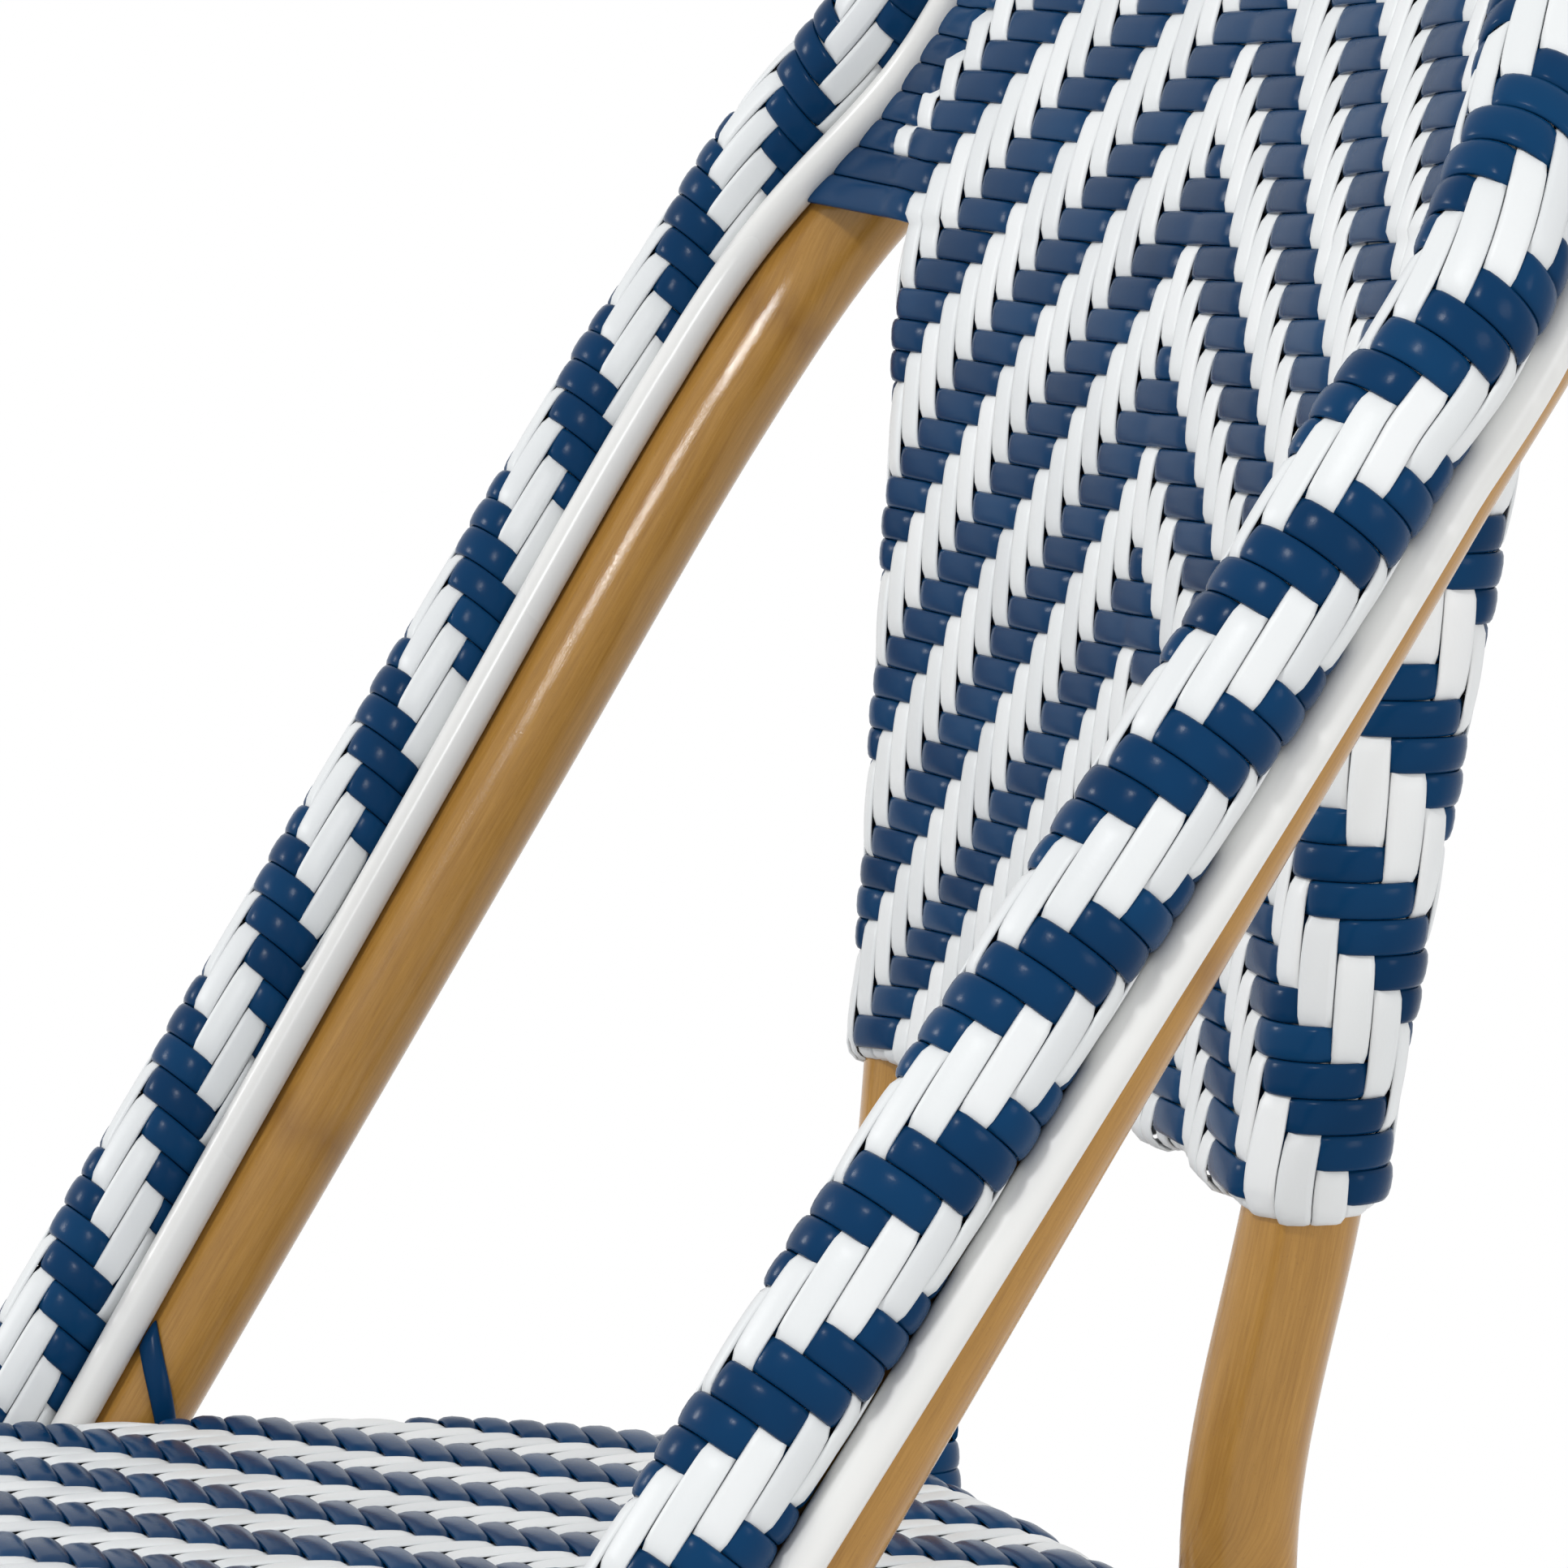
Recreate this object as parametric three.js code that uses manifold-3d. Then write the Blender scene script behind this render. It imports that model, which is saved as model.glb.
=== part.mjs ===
import * as THREE from 'three';
import Module from 'manifold-3d';
import { mergeVertices } from 'three/addons/utils/BufferGeometryUtils.js';

// A bistro armchair: bamboo-look tubes, a hoop that runs from the seat over the back, woven seat and back.
// Millimetres, +Z up, the sitter faces -Y and has +X on the left. The origin is on the floor, mid-chair.

// Driving sizes: tubes, rods and strands
const frameRadius = 12.7;
const frameBore = 11.2;
const railBore = 9;
const rollBore = 7.4;
const bowBore = 6.8;
const railRadius = 11;
const bowRadius = 8;
const barRadius = 7;
const panelRailRadius = 4.5;
const rodRadius = 4.75;
const weaveDepth = 3.6;
const clearance = 0.3;
const rollStandoff = 0.6;
const overrun = 1;

// Driving sizes: seat
const seatHeight = 454;
const seatSheet = 4.4;
const seatDepth = 406.4;
const ringSetBack = 10;

// Driving sizes: uprights and rear legs
const uprightPlane = 174.5;
const sleeveRise = 91;
const uprightHalfSpan = 120;
const uprightSpread = 0.156;
const uprightLean = 0.124;
const rearFootHalfSpan = 158;
const rearFootReach = 81.4;

// Driving sizes: hoop
const armHalfSpan = 214.4;
const armReach = 3.1;
const armRake = 0.6264;
const armSpread = 0.018;
const armDrop = 36;
const shoulderRise = 155;
const crestRise = 168;
const crestSetBack = 61;
const rollAngleFoot = THREE.MathUtils.degToRad(14);
const rollAngleCrest = THREE.MathUtils.degToRad(71);

// Driving sizes: back panel
const panelDepth = 14;
const panelSweepBack = 23;

// Driving sizes: front legs, bows, glides and plugs
const frontFootSplay = 16;
const frontFootReach = 22;
const bowHeight = 232;
const glideFlange = 6;
const glideSpigot = 22;
const boreDepth = 30;
const plugFlange = 2.4;
const plugSpigot = 10;
const lashingHeight = 14;
const lashingFlare = 2.4;
const saddleRadius = 8;

// Shares chosen by hand: [side, rise, set-back] along the arch, from the shoulder to the crest
const archShares = [
  [0.98, 0.256, 0.375],
  [0.853, 0.49, 0.71],
  [0.645, 0.757, 0.885],
  [0.345, 0.94, 0.974],
];
// Shares chosen by hand: [side, depth] round the seat ring, from the rear's middle to the front's middle
const ringShares = [
  [0.33, 0.005],
  [0.53, 0.036],
  [0.685, 0.1],
  [0.79, 0.163],
  [0.865, 0.21],
  [0.94, 0.3],
  [0.985, 0.385],
  [1.015, 0.5],
  [1.02, 0.63],
  [1.0, 0.78],
  [0.955, 0.885],
  [0.84, 0.95],
  [0.62, 0.983],
  [0.32, 0.997],
];
const weldShare = 0.085;
const rimLapShare = 0.01;
const spliceShare = 0.3;
const frontLegShare = 0.352;
const barShares = [0.19, 0.275];
const webTopShare = 0.455;
const uprightTopShare = 0.98;
const uprightMeetShare = 0.37;
const armPointShares = [0, 1 / 3, 2 / 3, 1];
const legPointShares = [0, 0.33, 0.66, 0.88];

// Facets of the swept pieces
const tubeSides = 12;
const railSides = 8;
const rimSides = 10;
const thinSides = 8;
const rodSides = 6;
const armSteps = 10;
const crestSteps = 18;
const legSteps = 24;
const railSteps = 34;
const backRailSteps = 8;
const bowSteps = 12;
const webColumns = 8;
const webRows = 8;

const sleeveHeight = seatHeight + sleeveRise;
const shoulderHeight = sleeveHeight + shoulderRise;
const crestHeight = shoulderHeight + crestRise;
const rimRadius = railRadius + clearance + weaveDepth;
const sleeveRadius = frameRadius + clearance + weaveDepth;
const rollRadius = railRadius + clearance + weaveDepth;
const rollDistance = frameRadius + rollRadius + rollStandoff;
const rodDistance = frameRadius + rodRadius + clearance;
const rollToRod = rollRadius + rodRadius + clearance;
const rodSpread = Math.acos(
  (rodDistance ** 2 + rollDistance ** 2 - rollToRod ** 2) / (2 * rodDistance * rollDistance),
);

const wasm = await Module();
wasm.setup();

// Materials

const finish = (color, roughness, metalness = 0) => (
  new THREE.MeshStandardMaterial({ color, roughness, metalness })
);
const bamboo = finish('#b5853f', 0.42);
const aluminium = finish('#b9bcc0', 0.45, 0.8);
const navyWeave = finish('#27405f', 0.5);
const mixedWeave = finish('#8b98a8', 0.5);
const whiteRod = finish('#e2e3e2', 0.45);
const blackPlastic = finish('#222426', 0.55);

// Solids

function solidOf(geometry) {
  const plain = geometry.clone();
  plain.deleteAttribute('normal');
  plain.deleteAttribute('uv');
  const merged = mergeVertices(plain);
  const vertProperties = merged.attributes.position.array;
  const triVerts = new Uint32Array(merged.index.array);
  return new wasm.Manifold(new wasm.Mesh({ numProp: 3, vertProperties, triVerts }));
}

function geometryOf(solid) {
  const mesh = solid.getMesh();
  const geometry = new THREE.BufferGeometry();
  const positions = new Float32Array(mesh.vertProperties);
  geometry.setAttribute('position', new THREE.BufferAttribute(positions, mesh.numProp));
  geometry.setIndex(new THREE.BufferAttribute(new Uint32Array(mesh.triVerts), 1));
  geometry.computeVertexNormals();
  return geometry;
}

const joined = (...parts) => geometryOf(parts.map(solidOf).reduce((whole, part) => whole.add(part)));
const cut = (body, ...cutters) => (
  geometryOf(cutters.map(solidOf).reduce((rest, cutter) => rest.subtract(cutter), solidOf(body)))
);

// A regular polygon, with its corners on the radius or its flats on it
function polygon(radius, sides, flatsOnRadius = false) {
  const corner = flatsOnRadius ? radius / Math.cos(Math.PI / sides) : radius;
  const turn = (2 * Math.PI) / sides;
  const cornerAt = (angle) => new THREE.Vector2(corner * Math.cos(angle), corner * Math.sin(angle));
  return Array.from({ length: sides }, (_, i) => cornerAt(i * turn));
}

const sweepShape = (shape, curve, steps) => new THREE.ExtrudeGeometry(shape, { steps, extrudePath: curve });
const rod = (curve, radius, sides, steps) => sweepShape(new THREE.Shape(polygon(radius, sides)), curve, steps);
const roomFor = (curve, radius, sides, steps) => (
  sweepShape(new THREE.Shape(polygon(radius + clearance, sides, true)), curve, steps)
);

// A tube with an open bore along the curve
function pipe(curve, radius, bore, sides, boreSides, steps) {
  const shape = new THREE.Shape(polygon(radius, sides));
  shape.holes.push(new THREE.Path(polygon(bore, boreSides, true)));
  return sweepShape(shape, curve, steps);
}

// Moves every vertex of a geometry to where the function puts it
function bent(geometry, place) {
  const position = geometry.attributes.position;
  const point = new THREE.Vector3();
  for (let i = 0; i < position.count; i += 1) {
    point.fromBufferAttribute(position, i);
    place(point);
    position.setXYZ(i, point.x, point.y, point.z);
  }
  return geometry;
}

// Turns a geometry made along +Z so that it starts at the point and runs along the direction
function aimed(geometry, point, direction) {
  const up = new THREE.Vector3(0, 0, 1);
  const turn = new THREE.Quaternion().setFromUnitVectors(up, direction.clone().normalize());
  return geometry.applyQuaternion(turn).translate(point.x, point.y, point.z);
}

const turned = (profile, sides) => (
  new THREE.LatheGeometry(profile.map((point) => new THREE.Vector2(...point)), sides).rotateX(Math.PI / 2)
);
const pegBetween = (radius, low, high, sides) => (
  turned([[0, low], [radius, low], [radius, high], [0, high]], sides)
);
const peg = (radius, length, sides) => pegBetween(radius, 0, length, sides);

// A cutter for a blind bore in the end of a tube along the curve
const boreIn = (curve, radius) => (
  aimed(pegBetween(radius, -overrun, boreDepth, tubeSides), curve.getPoint(0), curve.getTangent(0))
);
const mirrored = (point) => new THREE.Vector3(-point.x, point.y, point.z);

// Curves

class Stretch extends THREE.Curve {
  constructor(whole, from, to) {
    super();
    Object.assign(this, { whole, from, to });
  }

  getPoint(t) {
    const share = THREE.MathUtils.lerp(this.from, this.to, t);
    return this.whole.getPointAt(share - Math.floor(share));
  }
}

// Runs beside the hoop, at an angle from its front face towards its outer face
class Companion extends THREE.Curve {
  constructor(from, to, distance, extraAngle) {
    super();
    Object.assign(this, { from, to, distance, extraAngle });
  }

  getPoint(t) {
    const share = THREE.MathUtils.lerp(this.from, this.to, t);
    const along = hoop.getTangentAt(share);
    const front = new THREE.Vector3(0, -1, 0).addScaledVector(along, along.y).normalize();
    const outer = new THREE.Vector3().crossVectors(along, front);
    const angle = rollAngle(share) + this.extraAngle;
    return hoop.getPointAt(share)
      .addScaledVector(front, this.distance * Math.cos(angle))
      .addScaledVector(outer, this.distance * Math.sin(angle));
  }
}

// An arched brace between two legs, highest and furthest out at its middle
class Bow extends THREE.Curve {
  constructor(start, end, middle) {
    super();
    const chordMiddle = start.clone().add(end).divideScalar(2);
    Object.assign(this, { start, end, rise: middle.clone().sub(chordMiddle) });
  }

  getPoint(t) {
    return this.start.clone().lerp(this.end, t).addScaledVector(this.rise, 4 * t * (1 - t));
  }
}

const rollAngle = (share) => THREE.MathUtils.lerp(rollAngleFoot, rollAngleCrest, 1 - Math.abs(2 * share - 1));

function pointAtHeight(curve, height) {
  let low = 0;
  let high = 1;
  for (let i = 0; i < 40; i += 1) {
    const middle = (low + high) / 2;
    if (curve.getPointAt(middle).z < height) low = middle;
    else high = middle;
  }
  return { share: low, point: curve.getPointAt(low) };
}

// The point of the seat ring's left side that has a given y
function ringPointAtDepth(y) {
  let rear = weldShare;
  let front = 0.5;
  for (let i = 0; i < 40; i += 1) {
    const middle = (rear + front) / 2;
    if (seatRing.getPointAt(middle).y > y) rear = middle;
    else front = middle;
  }
  return seatRing.getPointAt(rear);
}

// Seat plane and the routes of the frame

const railLevel = seatHeight - rimRadius;
const seatBackY = uprightPlane + uprightLean * (railLevel - sleeveHeight) - ringSetBack;
const railHalfSpan = armHalfSpan - frameRadius - clearance - rimRadius;

function hoopRoute() {
  const armPoint = (z) => new THREE.Vector3(
    armHalfSpan + armSpread * (z - seatHeight),
    armReach + armRake * (z - seatHeight),
    z,
  );
  const foot = seatHeight - armDrop;
  const armPoints = armPointShares.map((share) => (
    armPoint(THREE.MathUtils.lerp(foot, shoulderHeight, share))
  ));
  const shoulder = armPoints.at(-1);
  const crest = new THREE.Vector3(0, uprightPlane + crestSetBack, crestHeight);
  const archPoints = archShares.map(([side, rise, setBack]) => new THREE.Vector3(
    shoulder.x * side,
    THREE.MathUtils.lerp(shoulder.y, crest.y, setBack),
    THREE.MathUtils.lerp(shoulder.z, crest.z, rise),
  ));
  const half = [...armPoints, ...archPoints];
  return new THREE.CatmullRomCurve3([...half, crest, ...half.map(mirrored).reverse()]);
}

function uprightRoute() {
  const straight = (z) => new THREE.Vector3(
    uprightHalfSpan + uprightSpread * (z - sleeveHeight),
    uprightPlane + uprightLean * (z - sleeveHeight),
    z,
  );
  const seatPoint = straight(seatHeight - rimRadius);
  const foot = new THREE.Vector3(rearFootHalfSpan, uprightPlane + rearFootReach, 0);
  const legPoints = legPointShares.map((share) => foot.clone().lerp(seatPoint, share));
  const lift = shoulderHeight - sleeveHeight;
  const top = hoop.getPointAt(uprightMeetShare);
  return new THREE.CatmullRomCurve3([
    ...legPoints,
    straight(seatHeight + rimRadius),
    straight(sleeveHeight),
    straight(sleeveHeight + lift / 2),
    straight(shoulderHeight),
    straight(shoulderHeight + lift / 4),
    top,
  ]);
}

// The ring starts at the middle of the rear and runs round the sitter's left side first
function seatRingRoute() {
  const place = (x, y) => new THREE.Vector3(x, y, railLevel);
  const left = ringShares.map(([across, depth]) => (
    place(railHalfSpan * across, seatBackY - seatDepth * depth)
  ));
  const rear = place(0, seatBackY);
  const front = place(0, seatBackY - seatDepth);
  return new THREE.CatmullRomCurve3([rear, ...left, front, ...left.map(mirrored).reverse()], true);
}

const hoop = hoopRoute();
const upright = uprightRoute();
const seatRing = seatRingRoute();
const weldEnd = weldShare + clearance / 2 / seatRing.getLength();
const seatRail = new Stretch(seatRing, weldEnd, 1 - weldEnd);
const backRail = new Stretch(seatRing, -weldShare, weldShare);
const weldStretch = new Stretch(seatRing, weldShare - rimLapShare, weldShare + rimLapShare);
const backRim = new Stretch(seatRing, -weldShare - rimLapShare, weldShare + rimLapShare);
const frontLegTop = seatRing.getPointAt(frontLegShare);
const frontFoot = new THREE.Vector3(frontLegTop.x + frontFootSplay, frontLegTop.y - frontFootReach, 0);
const frontLeg = new THREE.LineCurve3(frontFoot, frontLegTop);
const sleeveStart = pointAtHeight(upright, sleeveHeight).share;
const sleeve = new Stretch(upright, sleeveStart, uprightTopShare);

// Frame

const uprightRoom = () => roomFor(upright, frameRadius, tubeSides, legSteps);
const bothSides = (geometry) => [geometry, geometryOf(solidOf(geometry).mirror([1, 0, 0]))];

const framePipe = (curve, steps) => pipe(curve, frameRadius, frameBore, tubeSides, rimSides, steps);
const rearLeg = () => cut(framePipe(upright, legSteps), crestRoom(), floorBlock());
const frontLegTube = () => cut(framePipe(frontLeg, 1), seatRailRoom(), floorBlock());

// Everything below the glide flanges, for cutting tubes and glides level
function slab(top) {
  const reach = 2 * crestHeight;
  return new THREE.BoxGeometry(reach, reach, reach).translate(0, 0, top - reach / 2);
}
const floorBlock = () => slab(glideFlange + clearance);

function glide(foot, direction) {
  const flange = frameRadius + clearance;
  const start = -2 * glideFlange;
  const profile = [
    [0, start],
    [flange, start],
    [flange, glideFlange],
    [frameBore - clearance, glideFlange],
    [frameBore - clearance, glideSpigot],
    [0, glideSpigot],
  ];
  const capRoom = slab(glideFlange);
  const whole = aimed(turned(profile, tubeSides), foot, direction);
  const spigot = aimed(peg(frameBore - clearance, glideSpigot, tubeSides), foot, direction);
  const flat = cut(whole, slab(0));
  const low = geometryOf(solidOf(flat).intersect(solidOf(capRoom)));
  return joined(low, cut(spigot, slab(0)));
}

const seatRailRoom = () => roomFor(seatRail, railRadius, railSides, railSteps);
const backRailRoom = () => roomFor(backRail, railRadius, railSides, backRailSteps);
const weldRoom = () => roomFor(weldStretch, railRadius, railSides, 1);
const railPipe = (curve, steps) => pipe(curve, railRadius, railBore, railSides, railSides, steps);
const seatRailTube = () => cut(railPipe(seatRail, railSteps), ...bothSides(uprightRoom()));
const backRailTube = () => cut(railPipe(backRail, backRailSteps), ...bothSides(uprightRoom()));

// The cross bars lie under the seat weave and butt against the seat rail
function seatBarRoute(share) {
  const end = seatRing.getPointAt(share).setZ(seatHeight - seatSheet - clearance - barRadius);
  return new THREE.LineCurve3(end, mirrored(end));
}

const seatBar = (share) => cut(rod(seatBarRoute(share), barRadius, thinSides, 1), seatRailRoom());

const bowTube = (curve) => pipe(curve, bowRadius, bowBore, thinSides, thinSides, bowSteps);
const frontLegRoom = () => roomFor(frontLeg, frameRadius, tubeSides, 1);

// Bows: the highest point of each seats under the woven rim
const underRim = (x, y) => new THREE.Vector3(x, y, railLevel - rimRadius - clearance - bowRadius);

function sideBow() {
  const start = pointAtHeight(frontLeg, bowHeight).point;
  const end = pointAtHeight(upright, bowHeight).point;
  const middle = underRim(railHalfSpan, (start.y + end.y) / 2);
  return cut(bowTube(new Bow(start, end, middle)), frontLegRoom(), uprightRoom());
}

function frontBow() {
  const start = pointAtHeight(frontLeg, bowHeight).point;
  const middle = underRim(0, seatBackY - seatDepth);
  const body = bowTube(new Bow(start, mirrored(start), middle));
  return cut(body, ...bothSides(frontLegRoom()));
}

function rearBow() {
  const start = pointAtHeight(upright, bowHeight).point;
  const body = bowTube(new Bow(start, mirrored(start), underRim(0, seatBackY)));
  return cut(body, ...bothSides(uprightRoom()));
}

// Hoop, padded roll and trim rods

const halfGapShare = clearance / 2 / hoop.getLength();
const armSpan = [0, spliceShare - halfGapShare];
const crestSpan = [spliceShare + halfGapShare, 1 - spliceShare - halfGapShare];
const crestRoomSpan = [spliceShare - 3 * halfGapShare, 1 - spliceShare + 3 * halfGapShare];
const alongHoop = ([from, to], distance, angle) => new Companion(from, to, distance, angle);
const rollAlong = (span) => alongHoop(span, rollDistance, 0);
const innerRodAlong = (span) => alongHoop(span, rodDistance, -rodSpread);
const outerRodAlong = (span) => alongHoop(span, rodDistance, rodSpread);

const armTube = () => framePipe(new Stretch(hoop, ...armSpan), armSteps);
const crestRoom = () => roomFor(new Stretch(hoop, ...crestRoomSpan), frameRadius, tubeSides, crestSteps);
const crestTube = () => framePipe(new Stretch(hoop, ...crestSpan), crestSteps);
const rollWeave = (span, steps) => (
  pipe(rollAlong(span), rollRadius, railRadius + clearance, tubeSides, railSides, steps)
);

function rollCore() {
  const route = rollAlong(armSpan);
  return cut(rod(route, railRadius, railSides, armSteps), boreIn(route, rollBore));
}

// A plug for an open tube end: a flange against the end and a spigot in the bore
function endPlug(route, flangeRadius, bore) {
  const profile = [
    [0, -plugFlange - clearance],
    [flangeRadius, -plugFlange - clearance],
    [flangeRadius, -clearance],
    [bore - clearance, -clearance],
    [bore - clearance, plugSpigot],
    [0, plugSpigot],
  ];
  return aimed(turned(profile, tubeSides), route.getPoint(0), route.getTangent(0));
}

// A welded spacer between the arm tube and the seat rail, coped to both
const armRoom = () => roomFor(new Stretch(hoop, ...armSpan), frameRadius, tubeSides, armSteps);

function saddlePeg(radius) {
  const axis = pointAtHeight(new Stretch(hoop, ...armSpan), railLevel).point;
  const start = ringPointAtDepth(axis.y);
  return aimed(peg(radius, axis.x - start.x, thinSides), start, new THREE.Vector3(1, 0, 0));
}

function armSaddle() {
  const body = saddlePeg(saddleRadius);
  return cut(body, armRoom(), seatRailRoom());
}

// Woven seat: a sheet over the bars, carried round the rails

function seatSheetPlate() {
  const points = seatRing.getSpacedPoints(railSteps + backRailSteps).slice(1);
  const outline = points.map(({ x, y }) => new THREE.Vector2(x, y));
  const plate = new THREE.ExtrudeGeometry(new THREE.Shape(outline), { depth: seatSheet, bevelEnabled: false });
  return plate.translate(0, 0, seatHeight - seatSheet);
}

const rims = (room = 0) => [
  rod(seatRail, rimRadius + room, rimSides, railSteps),
  rod(backRim, rimRadius + room, rimSides, backRailSteps),
];

function wovenSeat() {
  const whole = joined(seatSheetPlate(), ...rims());
  const rails = [seatRailRoom(), backRailRoom()];
  const bars = barShares.map((share) => roomFor(seatBarRoute(share), barRadius, thinSides, 1));
  const innerRodRoom = roomFor(innerRodAlong(armSpan), rodRadius, rodSides, armSteps);
  const saddleRoom = saddlePeg(saddleRadius + clearance);
  const tubes = [uprightRoom(), frontLegRoom(), innerRodRoom, armRoom(), saddleRoom, weldRoom()];
  const sides = tubes.flatMap(bothSides);
  return cut(whole, ...rails, ...bars, ...sides);
}

// A strand lashing round each upright where it meets the seat
function lashing() {
  const start = pointAtHeight(upright, seatHeight + clearance);
  const bore = frameRadius + clearance;
  const outer = bore + weaveDepth;
  const profile = [
    [bore, 0],
    [outer + lashingFlare, 0],
    [outer, lashingHeight],
    [bore, lashingHeight],
    [bore, 0],
  ];
  const ring = aimed(turned(profile, tubeSides), start.point, upright.getTangentAt(start.share));
  return cut(ring, uprightRoom(), ...rims(2 * clearance), seatSheetPlate().translate(0, 0, clearance));
}

// Woven back: a bent web between the uprights, wider above the shoulders, where it reaches the hoop

const rowCentreY = (z) => {
  const sweep = THREE.MathUtils.smoothstep(z, shoulderHeight, crestHeight);
  return uprightPlane + uprightLean * (z - sleeveHeight) + panelSweepBack * sweep;
};

// A panel whose side edges follow a curve and its mirror image between two shares of its length
function web(curve, from, to, inset) {
  const box = new THREE.BoxGeometry(2 * armHalfSpan, panelDepth, crestHeight, webColumns, 1, webRows);
  return bent(box, (point) => {
    const side = point.x / armHalfSpan;
    const end = curve.getPointAt(THREE.MathUtils.lerp(from, to, point.z / crestHeight + 0.5));
    const centreY = rowCentreY(end.z);
    point.set((end.x - inset) * side, point.y + THREE.MathUtils.lerp(centreY, end.y, side * side), end.z);
  });
}

function panelRailRoute() {
  const side = pointAtHeight(upright, sleeveHeight + panelDepth / 2).point;
  const centre = new THREE.Vector3(0, 2 * rowCentreY(side.z) - side.y, side.z);
  return new THREE.QuadraticBezierCurve3(side, centre, mirrored(side));
}

const panelRail = () => (
  cut(rod(panelRailRoute(), panelRailRadius, thinSides, webColumns), ...bothSides(uprightRoom()))
);

function wovenBack() {
  const lowTop = pointAtHeight(upright, hoop.getPointAt(spliceShare).z + panelDepth).share;
  const sleeves = bothSides(rod(sleeve, sleeveRadius, tubeSides, webRows));
  const lowWeb = web(upright, sleeveStart, lowTop, 0);
  const highWeb = web(hoop, spliceShare, webTopShare, frameRadius / 2);
  const rooms = [
    crestRoom(),
    roomFor(panelRailRoute(), panelRailRadius, thinSides, webColumns),
    ...bothSides(armRoom()),
    ...bothSides(uprightRoom()),
  ];
  return cut(joined(lowWeb, highWeb, ...sleeves), ...rooms);
}

// Assembly

const chair = new THREE.Group();
chair.name = 'bistro_armchair';

function add(name, geometry, material) {
  const mesh = new THREE.Mesh(geometry, material);
  mesh.name = name;
  chair.add(mesh);
  return mesh;
}

function addPair(name, geometry, material) {
  add(`${name}_left`, geometry, material);
  add(`${name}_right`, geometry, material).scale.x = -1;
}

addPair('rear_leg', rearLeg(), bamboo);
addPair('front_leg', frontLegTube(), bamboo);
addPair('rear_glide', glide(upright.getPointAt(0), upright.getTangentAt(0)), blackPlastic);
addPair('front_glide', glide(frontFoot, frontLeg.getTangent(0)), blackPlastic);
add('seat_rail', seatRailTube(), aluminium);
add('seat_back_rail', backRailTube(), aluminium);
barShares.forEach((share, i) => add(['seat_bar_rear', 'seat_bar_front'][i], seatBar(share), aluminium));
addPair('side_bow', sideBow(), bamboo);
add('front_bow', frontBow(), bamboo);
add('rear_bow', rearBow(), bamboo);
addPair('arm_tube', armTube(), bamboo);
addPair('arm_tube_plug', endPlug(new Stretch(hoop, ...armSpan), frameRadius, frameBore), blackPlastic);
addPair('arm_saddle', armSaddle(), aluminium);
add('crest_tube', crestTube(), bamboo);
addPair('roll_core', rollCore(), aluminium);
addPair('roll_plug', endPlug(rollAlong(armSpan), rollRadius, rollBore), navyWeave);
add('roll_core_crest', rod(rollAlong(crestSpan), railRadius, railSides, crestSteps), aluminium);
addPair('roll_weave', rollWeave(armSpan, armSteps), navyWeave);
add('roll_weave_crest', rollWeave(crestSpan, crestSteps), navyWeave);
addPair('inner_rod', rod(innerRodAlong(armSpan), rodRadius, rodSides, armSteps), whiteRod);
addPair('outer_rod', rod(outerRodAlong(armSpan), rodRadius, rodSides, armSteps), whiteRod);
add('inner_rod_crest', rod(innerRodAlong(crestSpan), rodRadius, rodSides, crestSteps), whiteRod);
add('outer_rod_crest', rod(outerRodAlong(crestSpan), rodRadius, rodSides, crestSteps), whiteRod);
add('woven_seat', wovenSeat(), mixedWeave);
addPair('upright_lashing', lashing(), navyWeave);
add('panel_rail', panelRail(), aluminium);
add('woven_back', wovenBack(), mixedWeave);

export default chair;
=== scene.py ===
# A bistro armchair: bamboo-look tube, a seat and back of flat plastic strand, navy over white.
# The sitter faces -Y and has +X on the left. Sizes are in millimetres, and mesh_of() turns them
# into metres; the camera, the floor and the lamps are placed in metres.

import copy
import math

import bpy
import numpy as np
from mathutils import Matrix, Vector


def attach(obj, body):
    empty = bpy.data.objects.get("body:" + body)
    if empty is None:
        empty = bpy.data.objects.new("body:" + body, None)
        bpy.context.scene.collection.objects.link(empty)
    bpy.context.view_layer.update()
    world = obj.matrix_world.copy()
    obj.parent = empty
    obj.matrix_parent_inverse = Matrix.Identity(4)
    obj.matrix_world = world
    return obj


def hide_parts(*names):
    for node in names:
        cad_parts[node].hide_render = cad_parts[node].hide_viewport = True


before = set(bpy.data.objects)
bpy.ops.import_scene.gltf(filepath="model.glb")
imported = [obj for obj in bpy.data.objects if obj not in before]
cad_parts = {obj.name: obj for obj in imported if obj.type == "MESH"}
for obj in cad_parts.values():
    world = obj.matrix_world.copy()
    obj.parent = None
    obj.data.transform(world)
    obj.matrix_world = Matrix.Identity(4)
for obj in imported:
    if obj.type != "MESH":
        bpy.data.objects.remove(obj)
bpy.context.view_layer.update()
scene = bpy.context.scene
scene.view_settings.view_transform = "Standard"


# Camera
# It stands at the sitter's left, a little in front and just above the arms, with a long lens.
# Its place, aim and lens were worked out from the chair's edges as they are seen from there.

eye_data = bpy.data.cameras.new("camera")
eye = bpy.data.objects.new("camera", eye_data)
scene.collection.objects.link(eye)
scene.camera = eye
eye_data.sensor_width = 36
eye_data.lens = 158.65
eye_data.clip_end = 50
eye_place = Vector((1.4597, -0.4032, 0.7681))
eye_aim = Vector((0, 0.099, 0.6251))
eye.location = eye_place
eye.rotation_euler = (eye_aim - eye_place).to_track_quat("-Z", "Y").to_euler()


# Hoop
# One bamboo-look tube runs from the seat's side up as an arm, over the back and down again.
# It is bent from aluminium tube and painted; the weave hides its splices.

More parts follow.
